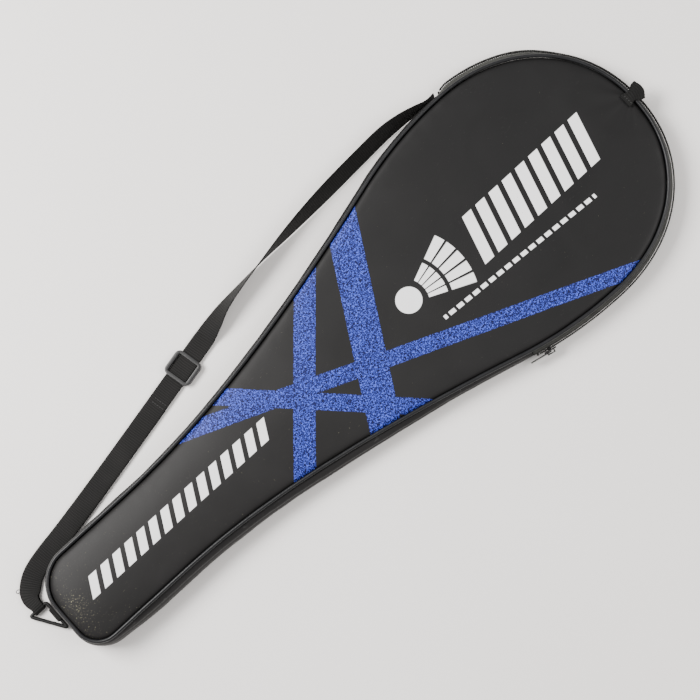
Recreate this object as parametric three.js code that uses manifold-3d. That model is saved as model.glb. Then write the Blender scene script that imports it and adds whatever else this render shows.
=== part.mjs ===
// A badminton racket zipped into its full-length padded cover, with the cover's shoulder strap.
// Units are millimetres. +X runs from the handle end to the head tip, +Y towards the strap, +Z up.
// The origin is on the flat underside of the cover, midway along its length and width.
import * as THREE from "three";
import { mergeVertices } from "three/addons/utils/BufferGeometryUtils.js";
import Module from "manifold-3d";

// ---- driving dimensions -------------------------------------------------------------------
const LENGTH = 708; // cover, piping centre to piping centre
const HANDLE_HALF = 45; // half width of the handle end
const HEAD_HALF = 122; // half width at the widest point of the head
const WIDEST_X = 221; // where the head is widest
const HEAD_EXPONENT = 2.12; // superellipse exponent of the rounded head
const SHOULDER_RADIUS = 385; // arc that leads into the widest point
const SHOULDER_X = 116; // where that arc starts
const TAPER_X = -244; // where the straight handle part starts to widen
const CORNER_STRAP_SIDE = 35; // corner radii of the handle end
const CORNER_FAR_SIDE = 24;

const HEIGHT_HANDLE = 31; // height of the front piping at the handle end
const HEIGHT_HEAD = 22; // and over the head
const CROWN_HANDLE = 5; // how far the front panel swells above its piping
const CROWN_HEAD = 1.4;
const PANEL = 2; // vinyl and foam
const LINING = 0.8;
const LINING_SAG = 0.6; // room between the front panel and its lining
const GAP = 0.3; // clearance between neighbouring pieces
const PIPING_R = 1.8;
const BACK_FLARE = 1.5; // the back piping stands this far outside the front one
const WALL = 1.4; // gusset vinyl
const BULGE = 4.5; // how far the gusset swells outwards

const ZIP_START_X = 224; // on the strap side
const ZIP_END_X = 126; // on the far side
const ZIP_BULGE = 3.5;
const ZIP_Z = 11; // height of the line where the two coils meet
const TAPE = 0.8;
const COIL_R = 1;
const COIL_SPREAD = 1.6; // from the meeting line to each coil's centre
const SLIDER_X = 141; // where the closed zip's slider stands

const WEBBING = 20; // strap width
const WEB_T = 1.3; // strap thickness
const ADJUSTER_X = -123;

const RACKET_LENGTH = 675;
const BUTT_X = -343;
const HOOP_HALF_LENGTH = 125;
const HOOP_HALF_WIDTH = 98;
const GRIP_Z = 18.8; // height of the racket's axis at the butt
const HEAD_Z = 11.5; // and at the middle of its head

// ---- materials ------------------------------------------------------------------------------
const finish = (color, roughness, metalness = 0) =>
  new THREE.MeshStandardMaterial({ color, roughness, metalness });
const vinyl = () => finish(0x37373a, 0.55);
const welt = () => finish(0x2c2d30, 0.3);
const lining = () => finish(0x2a2a2c, 0.9);
const webbing = () => finish(0x2b2a2a, 0.85);
const tape = () => finish(0x4a4b48, 0.8);
const nylon = () => finish(0x303030, 0.5);
const plastic = () => finish(0x1b1b1c, 0.3);
const metal = () => finish(0x8a8a8c, 0.35, 0.9);
const carbon = () => finish(0x24355f, 0.25);
const string = () => finish(0xe8e8e2, 0.4);
const timber = () => finish(0xb98a55, 0.7);
const grip = () => finish(0xd8d8d4, 0.75);

// ---- solids ---------------------------------------------------------------------------------
const wasm = await Module();
wasm.setup();

const positionOnly = (geometry) => {
  const bare = new THREE.BufferGeometry();
  bare.setAttribute("position", geometry.getAttribute("position"));
  if (geometry.index) bare.setIndex(geometry.index);
  return mergeVertices(bare, 1e-4);
};

const toSolid = (geometry) => {
  const merged = positionOnly(geometry);
  return new wasm.Manifold(
    new wasm.Mesh({
      numProp: 3,
      vertProperties: new Float32Array(merged.attributes.position.array),
      triVerts: new Uint32Array(merged.index.array),
    }),
  );
};

const toGeometry = (solid) => {
  const mesh = solid.getMesh();
  const geometry = new THREE.BufferGeometry();
  geometry.setAttribute("position", new THREE.BufferAttribute(mesh.vertProperties, 3));
  geometry.setIndex(new THREE.BufferAttribute(mesh.triVerts, 1));
  geometry.computeVertexNormals();
  return geometry;
};

const join = (geometries) => toGeometry(geometries.map(toSolid).reduce((a, b) => a.add(b)));
const cut = (geometry, tool) => toGeometry(toSolid(geometry).subtract(toSolid(tool)));

const fromTriangles = (points, triangles) => {
  const geometry = new THREE.BufferGeometry();
  const flat = points.flatMap((p) => [p.x, p.y, p.z]);
  geometry.setAttribute("position", new THREE.Float32BufferAttribute(flat, 3));
  geometry.setIndex(triangles);
  geometry.computeVertexNormals();
  return geometry;
};

// A body swept through a list of sections, each the same ring of points. The ring runs
// anticlockwise seen against the sweep's direction. A closed sweep joins last to first.
const sweep = (sections, closed = false) => {
  const n = sections[0].length;
  const points = sections.flat();
  const triangles = [];
  const last = closed ? sections.length : sections.length - 1;
  for (let i = 0; i < last; i++) {
    const a = i * n;
    const b = ((i + 1) % sections.length) * n;
    for (let j = 0; j < n; j++) {
      const k = (j + 1) % n;
      triangles.push(a + j, b + j, b + k, a + j, b + k, a + k);
    }
  }
  if (!closed) {
    const end = (sections.length - 1) * n;
    for (let j = 1; j < n - 1; j++) {
      triangles.push(0, j, j + 1);
      triangles.push(end, end + j + 1, end + j);
    }
  }
  return fromTriangles(points, triangles);
};

// A sheet body between two grids of points of the same size: face looks outwards, back lies behind it.
const sheet = (face, back) => {
  const rows = face.length;
  const columns = face[0].length;
  const points = [...face.flat(), ...back.flat()];
  const shift = rows * columns;
  const at = (i, j) => i * columns + j;
  const triangles = [];
  const quad = (a, b, c, d) => triangles.push(a, b, c, a, c, d);
  for (let i = 0; i < rows - 1; i++) {
    for (let j = 0; j < columns - 1; j++) {
      const [a, b, c, d] = [at(i, j), at(i + 1, j), at(i + 1, j + 1), at(i, j + 1)];
      quad(a, b, c, d);
      quad(shift + a, shift + d, shift + c, shift + b);
    }
  }
  for (let i = 0; i < rows - 1; i++) {
    const [a, b] = [at(i, 0), at(i + 1, 0)];
    const [c, d] = [at(i, columns - 1), at(i + 1, columns - 1)];
    quad(a, shift + a, shift + b, b);
    quad(c, d, shift + d, shift + c);
  }
  for (let j = 0; j < columns - 1; j++) {
    const [a, b] = [at(0, j), at(0, j + 1)];
    const [c, d] = [at(rows - 1, j), at(rows - 1, j + 1)];
    quad(a, b, shift + b, shift + a);
    quad(c, shift + c, shift + d, d);
  }
  return fromTriangles(points, triangles);
};

const facingOut = (geometry) => {
  const solid = toSolid(geometry);
  if (solid.volume() > 0) return geometry;
  const flipped = geometry.clone();
  const index = flipped.index.array;
  for (let i = 0; i < index.length; i += 3) {
    [index[i + 1], index[i + 2]] = [index[i + 2], index[i + 1]];
  }
  flipped.computeVertexNormals();
  return flipped;
};

const box = (x0, x1, y0, y1, z0, z1) => {
  const geometry = new THREE.BoxGeometry(x1 - x0, y1 - y0, z1 - z0);
  return geometry.translate((x0 + x1) / 2, (y0 + y1) / 2, (z0 + z1) / 2);
};

const model = new THREE.Group();
const add = (name, geometry, material, parent = model) => {
  const mesh = new THREE.Mesh(facingOut(positionOnly(geometry)), material);
  mesh.name = name;
  parent.add(mesh);
  return mesh;
};

// ---- the cover's outline ------------------------------------------------------------------------
const HALF_LENGTH = LENGTH / 2;
const HEAD_LENGTH = HALF_LENGTH - WIDEST_X;
const shoulderDrop = SHOULDER_RADIUS - Math.sqrt(SHOULDER_RADIUS ** 2 - (WIDEST_X - SHOULDER_X) ** 2);
const shoulderHalf = HEAD_HALF - shoulderDrop;
const shoulderSlope = (WIDEST_X - SHOULDER_X) / (SHOULDER_RADIUS - shoulderDrop);
const SHOULDER_HANDLE = 190; // reach of the Bezier handle at the shoulder
const TAPER_HANDLE = 70; // and at the start of the taper
const taper = new THREE.CubicBezierCurve(
  new THREE.Vector2(TAPER_X, HANDLE_HALF),
  new THREE.Vector2(TAPER_X + TAPER_HANDLE, HANDLE_HALF),
  new THREE.Vector2(SHOULDER_X - SHOULDER_HANDLE, shoulderHalf - SHOULDER_HANDLE * shoulderSlope),
  new THREE.Vector2(SHOULDER_X, shoulderHalf),
);
const TAPER_STEPS = 9;
const SHOULDER_STEPS = 6;
const HEAD_STEPS = 11;
const CORNER_STEPS = 6;
const TIP_ANGLE = 4; // degrees; the tip ends in a short straight edge

// Half width on one side of the handle's end corner, dx from the end.
const cornerHalf = (dx, radius) =>
  HANDLE_HALF - radius + (dx >= radius ? radius : Math.sqrt(radius ** 2 - (radius - dx) ** 2));

// Stations along the cover, each {x, far, strap}: the half width on the far and on the strap side.
const stations = [];
for (let i = 0; i <= CORNER_STEPS; i++) {
  const dx = CORNER_STRAP_SIDE * (1 - Math.cos((i / CORNER_STEPS) * (Math.PI / 2)));
  stations.push({
    x: -HALF_LENGTH + dx,
    far: cornerHalf(dx, CORNER_FAR_SIDE),
    strap: cornerHalf(dx, CORNER_STRAP_SIDE),
  });
}
for (let i = 0; i < TAPER_STEPS; i++) {
  const p = taper.getPoint(i / TAPER_STEPS);
  stations.push({ x: p.x, far: p.y, strap: p.y });
}
for (let i = 0; i < SHOULDER_STEPS; i++) {
  const x = SHOULDER_X + ((WIDEST_X - SHOULDER_X) * i) / SHOULDER_STEPS;
  const y = HEAD_HALF - SHOULDER_RADIUS + Math.sqrt(SHOULDER_RADIUS ** 2 - (WIDEST_X - x) ** 2);
  stations.push({ x, far: y, strap: y });
}
for (let i = 0; i <= HEAD_STEPS; i++) {
  const angle = THREE.MathUtils.degToRad(90 - ((90 - TIP_ANGLE) * i) / HEAD_STEPS);
  const x = WIDEST_X + HEAD_LENGTH * Math.cos(angle) ** (2 / HEAD_EXPONENT);
  const y = HEAD_HALF * Math.sin(angle) ** (2 / HEAD_EXPONENT);
  stations.push({ x, far: y, strap: y });
}

const coverHeight = (x) => {
  const t = THREE.MathUtils.smoothstep(x, -HALF_LENGTH, 60);
  return THREE.MathUtils.lerp(HEIGHT_HANDLE, HEIGHT_HEAD, t);
};
const crown = (x) => THREE.MathUtils.lerp(CROWN_HANDLE, CROWN_HEAD, THREE.MathUtils.smoothstep(x, -180, 120));

// The outline as a closed anticlockwise ring of {x, y, nx, ny}, normals pointing out.
const ring = [
  ...stations.map((s) => new THREE.Vector2(s.x, -s.far)),
  ...stations.map((s) => new THREE.Vector2(s.x, s.strap)).reverse(),
];
const outline = ring.map((p, i) => {
  const before = ring[(i + ring.length - 1) % ring.length];
  const after = ring[(i + 1) % ring.length];
  const inward = new THREE.Vector2().subVectors(p, before).normalize();
  const onward = new THREE.Vector2().subVectors(after, p).normalize();
  const along = inward.add(onward).normalize();
  return { x: p.x, y: p.y, nx: along.y, ny: -along.x };
});

// A point of the outline moved outwards by offset and put at height z.
const wallPoint = (p, offset, z) => new THREE.Vector3(p.x + p.nx * offset, p.y + p.ny * offset, z);

// The outline's point at a given x on one side of the cover, with its normal.
const sidePoint = (x, side) => {
  for (let i = 0; i < outline.length; i++) {
    const a = outline[i];
    const b = outline[(i + 1) % outline.length];
    const onSide = side > 0 ? a.y > 0 && b.y > 0 : a.y < 0 && b.y < 0;
    if (!onSide || (a.x - x) * (b.x - x) > 0 || a.x === b.x) continue;
    const t = (x - a.x) / (b.x - a.x);
    const nx = THREE.MathUtils.lerp(a.nx, b.nx, t);
    const ny = THREE.MathUtils.lerp(a.ny, b.ny, t);
    const size = Math.hypot(nx, ny);
    return { x, y: THREE.MathUtils.lerp(a.y, b.y, t), nx: nx / size, ny: ny / size };
  }
  throw new Error("no outline point at x = " + x);
};

// The stretch of outline from one point to another, anticlockwise.
const stretch = (from, to) => {
  const angleOf = (p) => {
    const start = Math.atan2(from.y, from.x - WIDEST_X);
    const angle = Math.atan2(p.y, p.x - WIDEST_X) - start;
    return (angle + 4 * Math.PI) % (2 * Math.PI);
  };
  const end = angleOf(to);
  const clear = 0.01;
  const inside = outline.filter((p) => angleOf(p) > clear && angleOf(p) < end - clear);
  return [from, ...inside.sort((a, b) => angleOf(a) - angleOf(b)), to];
};

const zipStart = sidePoint(ZIP_START_X, 1);
const zipEnd = sidePoint(ZIP_END_X, -1);
const zipRun = stretch(zipEnd, zipStart); // round the head tip
const gussetRun = stretch(zipStart, zipEnd); // round the handle end

// ---- panels, linings and piping -------------------------------------------------------------------
const COLUMNS = 8;
// The front panel's surface, inset from the piping, at a depth below its top face.
const frontGrid = (inset, depth) =>
  stations.map((s, i) => {
    const low = outline[i];
    const high = outline[outline.length - 1 - i];
    const y0 = low.y - low.ny * inset;
    const y1 = high.y - high.ny * inset;
    const x0 = low.x - low.nx * inset;
    const x1 = high.x - high.nx * inset;
    return Array.from({ length: COLUMNS + 1 }, (_, j) => {
      const t = j / COLUMNS;
      const px = THREE.MathUtils.lerp(x0, x1, t);
      const py = THREE.MathUtils.lerp(y0, y1, t);
      const across = 1 - (2 * t - 1) ** 2;
      const endFade = Math.min(1, (HALF_LENGTH - Math.abs(s.x)) / CORNER_STRAP_SIDE);
      const swell = crown(px) * across * Math.sqrt(Math.max(0, endFade * (2 - endFade)));
      return new THREE.Vector3(px, py, coverHeight(px) + 1 + swell - depth);
    });
  });
const PANEL_INSET = PIPING_R + GAP;
const frontPanel = sheet(frontGrid(PANEL_INSET, 0), frontGrid(PANEL_INSET, PANEL));
const LINING_INSET = PIPING_R + WALL + 2 * GAP;
const LINING_DROP = PANEL + LINING_SAG;
const frontLining = sheet(
  frontGrid(LINING_INSET, LINING_DROP),
  frontGrid(LINING_INSET, LINING_DROP + LINING),
);

const flatSheet = (inset, z, thickness) => {
  const rim = outline.map((p) => new THREE.Vector2(p.x - p.nx * inset, p.y - p.ny * inset));
  const options = { depth: thickness, bevelEnabled: false };
  return new THREE.ExtrudeGeometry(new THREE.Shape(rim), options).translate(0, 0, z);
};

const PIPING_SIDES = 8;
const roundSection = (p, offset, z, radius, sides) =>
  Array.from({ length: sides }, (_, k) => {
    const a = ((k + 0.5) / sides) * 2 * Math.PI;
    return wallPoint(p, offset + radius * Math.cos(a), z + radius * Math.sin(a));
  });
const welted = (offset, height) =>
  facingOut(sweep(outline.map((p) => roundSection(p, offset, height(p.x), PIPING_R, PIPING_SIDES)), true));

// The vertical plane of the fold between the zip's two ends, and the two half spaces beside it.
const foldFrom = new THREE.Vector2(zipEnd.x, zipEnd.y);
const foldTo = new THREE.Vector2(zipStart.x, zipStart.y);
const foldAlong = new THREE.Vector2().subVectors(foldTo, foldFrom).normalize();
const BLOCK = 900; // larger than the cover
const halfSpace = (side) => {
  const block = new THREE.BoxGeometry(BLOCK, BLOCK, BLOCK).translate(side * (BLOCK / 2 + GAP / 2), 0, 0);
  const turn = Math.atan2(-foldAlong.x, foldAlong.y);
  const middle = new THREE.Vector2().addVectors(foldFrom, foldTo).multiplyScalar(0.5);
  return block.rotateZ(turn).translate(middle.x, middle.y, 0);
};
const headSide = halfSpace(1);
const handleSide = halfSpace(-1);
const keepHandle = (geometry) => toGeometry(toSolid(geometry).intersect(toSolid(handleSide)));
const keepHead = (geometry) => toGeometry(toSolid(geometry).intersect(toSolid(headSide)));

const frontPiping = welted(0, coverHeight);
const backPiping = welted(BACK_FLARE, () => PIPING_R + 0.1);
const facedPanel = facingOut(frontPanel);
const facedLining = facingOut(frontLining);

add("back_panel", flatSheet(PANEL_INSET - BACK_FLARE, 0, PANEL), vinyl());
add("back_lining", flatSheet(LINING_INSET, PANEL + GAP, LINING), lining());
add("back_piping", backPiping, welt());
add("front_panel", keepHandle(facedPanel), vinyl());
add("front_lining", keepHandle(facedLining), lining());
add("front_piping", keepHandle(frontPiping), welt());
add("flap_panel", keepHead(facedPanel), vinyl());
add("flap_lining", keepHead(facedLining), lining());
add("flap_piping", keepHead(frontPiping), welt());

// ---- gusset and zip -----------------------------------------------------------------------------------
// How far the side wall stands outside the front piping's centre, at height z.
const wallOffset = (z, height, bulge) => {
  const q = z / height;
  return BACK_FLARE * (1 - q) + bulge * 4 * q * (1 - q);
};
// A strip of the side wall between two heights given as functions of x.
const wallStrip = (run, low, high, bulge, thickness, rows) => {
  const grid = (inset) =>
    run.map((p) =>
      Array.from({ length: rows + 1 }, (_, j) => {
        const z = THREE.MathUtils.lerp(low(p.x), high(p.x), j / rows);
        return wallPoint(p, wallOffset(z, coverHeight(p.x), bulge(p)) - inset, z);
      }),
    );
  return sheet(grid(0), grid(thickness));
};
const WALL_FOOT = 2 * PIPING_R + 0.1 + GAP; // just above the back piping
const wallTop = (x) => coverHeight(x) - PIPING_R - GAP;
const END_GAP = GAP;

// The wall swells less towards the zip's ends, so that it meets the tapes there.
const gussetBulge = (p) => {
  const reach = 60;
  const dStart = Math.hypot(p.x - zipStart.x, p.y - zipStart.y);
  const dEnd = Math.hypot(p.x - zipEnd.x, p.y - zipEnd.y);
  return THREE.MathUtils.lerp(ZIP_BULGE, BULGE, Math.min(1, Math.min(dStart, dEnd) / reach));
};
// A run shortened by a clearance at both ends.
const shortened = (run, by) => {
  const trimmed = run.slice();
  const pull = (a, b) => {
    const size = Math.hypot(b.x - a.x, b.y - a.y);
    return { ...a, x: a.x + ((b.x - a.x) * by) / size, y: a.y + ((b.y - a.y) * by) / size };
  };
  trimmed[0] = pull(run[0], run[1]);
  trimmed[run.length - 1] = pull(run[run.length - 1], run[run.length - 2]);
  return trimmed;
};

const GUSSET_ROWS = 5;
const gussetPath = shortened(gussetRun, END_GAP);
const gusset = wallStrip(gussetPath, () => WALL_FOOT, wallTop, gussetBulge, WALL, GUSSET_ROWS);
add("gusset", gusset, vinyl());

const TAPE_ROWS = 2;
const TAPE_SPLIT = 0.7; // from the meeting line to each tape's edge
const zipBulge = () => ZIP_BULGE;
const tapeRun = shortened(zipRun, END_GAP);
const frontTapeFoot = () => ZIP_Z + TAPE_SPLIT;
const backTapeTop = () => ZIP_Z - TAPE_SPLIT;
const frontTape = wallStrip(tapeRun, frontTapeFoot, wallTop, zipBulge, TAPE, TAPE_ROWS);
const backTape = wallStrip(tapeRun, () => WALL_FOOT, backTapeTop, zipBulge, TAPE, TAPE_ROWS);
add("zip_tape_front", frontTape, tape());
add("zip_tape_back", backTape, tape());

const zipWall = wallOffset(ZIP_Z, HEIGHT_HEAD, ZIP_BULGE);
const coilOffset = zipWall + COIL_R + GAP;
const COIL_INSET = 6; // the coils stop this far inside the tape's ends
const coilRun = shortened(zipRun, COIL_INSET);
const COIL_SIDES = 6;
const coil = (side) =>
  sweep(coilRun.map((p) => roundSection(p, coilOffset, ZIP_Z + side * COIL_SPREAD, COIL_R, COIL_SIDES)));
add("zip_coil_front", coil(1), nylon());
add("zip_coil_back", coil(-1), nylon());

// A group whose local axes are along the wall (x), outwards (y) and up (z), at a point of the outline.
const wallFrame = (p, offset, z) => {
  const group = new THREE.Group();
  group.position.copy(wallPoint(p, offset, z));
  group.rotation.z = Math.atan2(p.ny, p.nx) - Math.PI / 2;
  model.add(group);
  return group;
};
const bottomStop = wallFrame(sidePoint(ZIP_START_X, 1), coilOffset, ZIP_Z);
const STOP = { length: 2, depth: 1.8, height: 5.2, offset: 3 };
add(
  "zip_bottom_stop",
  box(STOP.offset, STOP.offset + STOP.length, -STOP.depth / 2, STOP.depth / 2, -STOP.height / 2, STOP.height / 2),
  metal(),
  bottomStop,
);

// The far end's frame: local x points from the zip's end towards the handle.
const topStop = wallFrame(sidePoint(ZIP_END_X, -1), coilOffset, ZIP_Z);
const topStopBlock = (side) => {
  const near = -STOP.offset;
  const middle = side * COIL_SPREAD;
  return box(near - STOP.length, near, -STOP.depth / 2, STOP.depth / 2, middle - COIL_R, middle + COIL_R);
};
add("zip_top_stop_front", topStopBlock(1), metal(), topStop);
add("zip_top_stop_back", topStopBlock(-1), metal(), topStop);

// Slider: an outer and an inner plate joined by a web that runs between the two coils, and a bridge
// that holds the pull.
const sliderFrame = wallFrame(sidePoint(SLIDER_X, -1), coilOffset, ZIP_Z);
const PLATE = { length: 12, height: 7.6, thickness: 1.2 };
const INNER = { length: 10, height: 6.4, thickness: 1 };
const WEB_PLATE = { length: 3, height: 0.6 };
const BRIDGE = { length: 8, width: 1.8, rise: 2.9, post: 1.2, bar: 1 };
const outerFrom = COIL_R + 1.5 * GAP;
const outerTo = outerFrom + PLATE.thickness;
const TAPE_LEAN = 3.1; // the tapes lean in by this much behind the slider
const innerTo = -COIL_R - GAP - TAPE - GAP - TAPE_LEAN;
const innerFrom = innerTo - INNER.thickness;
const slider = join([
  box(-PLATE.length / 2, PLATE.length / 2, outerFrom, outerTo, -PLATE.height / 2, PLATE.height / 2),
  box(-INNER.length / 2, INNER.length / 2, innerFrom, innerTo, -INNER.height / 2, INNER.height / 2),
  box(
    -WEB_PLATE.length / 2,
    WEB_PLATE.length / 2,
    innerTo - 0.2,
    outerFrom + 0.2,
    -WEB_PLATE.height / 2,
    WEB_PLATE.height / 2,
  ),
  box(
    -BRIDGE.length / 2,
    -BRIDGE.length / 2 + BRIDGE.post,
    outerTo - 0.2,
    outerTo + BRIDGE.rise,
    -BRIDGE.width / 2,
    BRIDGE.width / 2,
  ),
  box(
    BRIDGE.length / 2 - BRIDGE.post,
    BRIDGE.length / 2,
    outerTo - 0.2,
    outerTo + BRIDGE.rise,
    -BRIDGE.width / 2,
    BRIDGE.width / 2,
  ),
  box(
    -BRIDGE.length / 2,
    BRIDGE.length / 2,
    outerTo + BRIDGE.rise - BRIDGE.bar,
    outerTo + BRIDGE.rise,
    -BRIDGE.width / 2,
    BRIDGE.width / 2,
  ),
]);
add("zip_slider", slider, metal(), sliderFrame);

// Pull: its pin passes under the bridge, and its tab lies back towards the handle.
const PULL = { half: 2.7, arm: 1.3, pin: 1, window: 5.4, length: 21 };
const pinY = outerTo + GAP + PULL.pin / 2;
const pullBlank = box(-PULL.pin / 2, PULL.length, pinY - PULL.pin / 2, pinY + PULL.pin / 2, -PULL.half, PULL.half);
const pullWindow = box(PULL.pin / 2, PULL.window, pinY - 2, pinY + 2, -PULL.arm, PULL.arm);
const PULL_EYE_R = 1.2;
const pullEye = new THREE.CylinderGeometry(PULL_EYE_R, PULL_EYE_R, 4, 12).translate(PULL.length - 3, pinY, 0);
add("zip_pull", cut(cut(pullBlank, pullWindow), pullEye), metal(), sliderFrame);

// ---- tab at the head tip ---------------------------------------------------------------------------------
const TAB = { width: 17, thickness: 1.8, start: 8, bend: 2.6, reach: 12, droop: 3.6, flare: 2 };
const TAB_LIFT = 0.1; // the sewn end lies this much higher than the piping's crest
const tabTop = HEIGHT_HEAD + PIPING_R + GAP;
const tabPath = [
  [HALF_LENGTH - TAB.start, tabTop + TAB_LIFT, TAB.width],
  [HALF_LENGTH - 1, tabTop, TAB.width],
  [HALF_LENGTH + TAB.bend, tabTop - 0.4, TAB.width],
  [HALF_LENGTH + TAB.reach, tabTop - TAB.droop, TAB.width + TAB.flare],
];
const tabSections = tabPath.map(([x, z, width]) => [
  new THREE.Vector3(x, width / 2, z),
  new THREE.Vector3(x, -width / 2, z),
  new THREE.Vector3(x, -width / 2, z + TAB.thickness),
  new THREE.Vector3(x, width / 2, z + TAB.thickness),
]);
add("head_tab", sweep(tabSections), webbing());

// ---- shoulder strap ------------------------------------------------------------------------------------------
// Centre line of the webbing from its seam on the gusset to the ring at the handle end, then back
// under itself to the adjuster: x, y and roll, the turn of its width about the centre line in
// degrees. The webbing stands on its lower edge where it is rolled.
const SEAM_XS = [223, 213]; // the sewn end lies along the gusset between these
const STRAP_ROUTE = [
  [200, 130.5, 78],
  [184, 133, 66],
  [164, 134.5, 58],
  [134, 133.5, 56],
  [88, 131, 58],
  [42, 127.5, 74],
  [-4, 123, 100],
  [-50, 117, 126],
  [-72, 111.8, 152],
  [-86, 108.3, 172],
];
const RING_STRAP_X = -373; // the middle of the webbing where it folds round the ring
const LOWER_ROUTE = [
  [-96, 106],
  [-150, 94.5],
  [-164, 91.5],
  [-200, 83.8],
  [-240, 75.4],
  [-280, 67.3],
  [-314, 61],
  [-338, 57],
  [-356, 52],
  [-368, 43.5],
  [RING_STRAP_X, 36],
  [RING_STRAP_X, 28],
];
const TOP_LAYER_Z = 3;
const BOTTOM_LAYER_Z = 1.1;
const RING_PINCH = 12; // the webbing gathers to this width at the ring
const RING_BAR = { x: -374, y: 24, z: 3.5, r: 1.5 };
const FOLD_CLEAR = 0.55; // between the bar and the webbing folded round it
const SEAM_CLEAR = 0.5; // between the gusset and the strap's sewn end
const EDGE_CLEAR = 0.4; // under the edge that the webbing stands on
const turnR = RING_BAR.r + FOLD_CLEAR + WEB_T / 2; // radius at which webbing folds round the ring
const anchorY = (x) => {
  const p = sidePoint(x, 1);
  return p.y + wallOffset(HEIGHT_HEAD / 2, HEIGHT_HEAD, BULGE) + WEB_T / 2 + SEAM_CLEAR;
};
const rolledZ = (roll) => EDGE_CLEAR + (WEBBING / 2) * Math.sin(THREE.MathUtils.degToRad(roll)) + WEB_T / 2;
const sewnEnd = SEAM_XS.map((x) => [x, anchorY(x), 90]);
const topRun = [
  ...[...sewnEnd, ...STRAP_ROUTE].map(([x, y, roll]) => ({
    at: new THREE.Vector3(x, y, Math.max(rolledZ(roll), TOP_LAYER_Z)),
    roll,
    width: WEBBING,
  })),
  ...LOWER_ROUTE.map(([x, y], i) => {
    const nearRing = Math.max(0, i - (LOWER_ROUTE.length - 3)) / 2;
    return {
      at: new THREE.Vector3(x, y, THREE.MathUtils.lerp(TOP_LAYER_Z, RING_BAR.z + turnR, nearRing)),
      roll: 180,
      width: THREE.MathUtils.lerp(WEBBING, RING_PINCH, nearRing),
    };
  }),
];
// Half a turn round the ring's bar.
const turn = Array.from({ length: 7 }, (_, i) => {
  const a = Math.PI / 2 - (i / 6) * Math.PI;
  return {
    at: new THREE.Vector3(RING_STRAP_X, RING_BAR.y - turnR * Math.cos(a), RING_BAR.z + turnR * Math.sin(a)),
    roll: 180,
    width: RING_PINCH,
  };
});
// The layer beneath, back to where it is sewn to the upper one.
const RETURN_X = -153;
const returnRun = topRun
  .filter((s) => s.roll === 180 && s.at.x < RETURN_X)
  .reverse()
  .map((s) => ({ ...s, at: s.at.clone().setZ(BOTTOM_LAYER_Z) }));

// Sections of webbing along a run of {at, roll, width}.
const webSections = (run) => {
  let side = null;
  return run.map((s, i) => {
    const before = run[Math.max(0, i - 1)].at;
    const after = run[Math.min(run.length - 1, i + 1)].at;
    const along = new THREE.Vector3().subVectors(after, before).normalize();
    // Level across the run, and carried on from the last section where the run turns upright.
    const flat = new THREE.Vector3(along.y, -along.x, 0);
    const level = flat.length() > 0.4 ? flat.normalize() : side.clone().addScaledVector(along, -side.dot(along));
    if (side && level.dot(side) < 0) level.negate();
    level.normalize();
    side = level.clone();
    const up = new THREE.Vector3().crossVectors(level, along);
    const roll = THREE.MathUtils.degToRad(s.roll);
    const wide = level.clone().multiplyScalar(Math.cos(roll)).addScaledVector(up, Math.sin(roll));
    const thin = new THREE.Vector3().crossVectors(wide, along);
    const corner = (a, b) =>
      s.at
        .clone()
        .addScaledVector(wide, (a * s.width) / 2)
        .addScaledVector(thin, (b * WEB_T) / 2);
    return [corner(1, 1), corner(-1, 1), corner(-1, -1), corner(1, -1)];
  });
};
add("shoulder_strap", sweep(webSections([...topRun, ...turn, ...returnRun])), webbing());

// ---- adjuster, ring and the ring's tab ---------------------------------------------------------------------------
// Straight stretch of strap that the adjuster sits on, as a frame with local x along the strap.
const adjusterFrom = new THREE.Vector2(...LOWER_ROUTE[1]);
const adjusterTo = new THREE.Vector2(...LOWER_ROUTE[0]);
const adjusterAlong = new THREE.Vector2().subVectors(adjusterTo, adjusterFrom);
const adjuster = new THREE.Group();
adjuster.position.set(
  ADJUSTER_X,
  THREE.MathUtils.mapLinear(ADJUSTER_X, adjusterFrom.x, adjusterTo.x, adjusterFrom.y, adjusterTo.y),
  0,
);
adjuster.rotation.z = adjusterAlong.angle();
model.add(adjuster);
const ADJUSTER = { length: 26, width: 28.6, slot: 21.6, rail: 3.2, corner: 5.5, foot: 0.2, top: 5.65 };
const CENTRE_BAR = { width: 3, low: 0.3, high: 1.9 };
const roundedRectangle = (length, width, radius) => {
  const [a, b] = [length / 2, width / 2];
  const shape = new THREE.Shape();
  shape.moveTo(-a + radius, -b);
  shape.lineTo(a - radius, -b);
  shape.absarc(a - radius, -b + radius, radius, -Math.PI / 2, 0);
  shape.lineTo(a, b - radius);
  shape.absarc(a - radius, b - radius, radius, 0, Math.PI / 2);
  shape.lineTo(-a + radius, b);
  shape.absarc(-a + radius, b - radius, radius, Math.PI / 2, Math.PI);
  shape.lineTo(-a, -b + radius);
  shape.absarc(-a + radius, -b + radius, radius, Math.PI, 1.5 * Math.PI);
  return shape;
};
const ARC_SEGMENTS = 4;
const frameShape = roundedRectangle(ADJUSTER.length, ADJUSTER.width, ADJUSTER.corner);
frameShape.holes.push(roundedRectangle(ADJUSTER.length - 2 * ADJUSTER.rail, ADJUSTER.slot, 1));
const railBlank = new THREE.ExtrudeGeometry(frameShape, {
  depth: ADJUSTER.top - ADJUSTER.foot,
  bevelEnabled: false,
  curveSegments: ARC_SEGMENTS,
}).translate(0, 0, ADJUSTER.foot);
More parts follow.
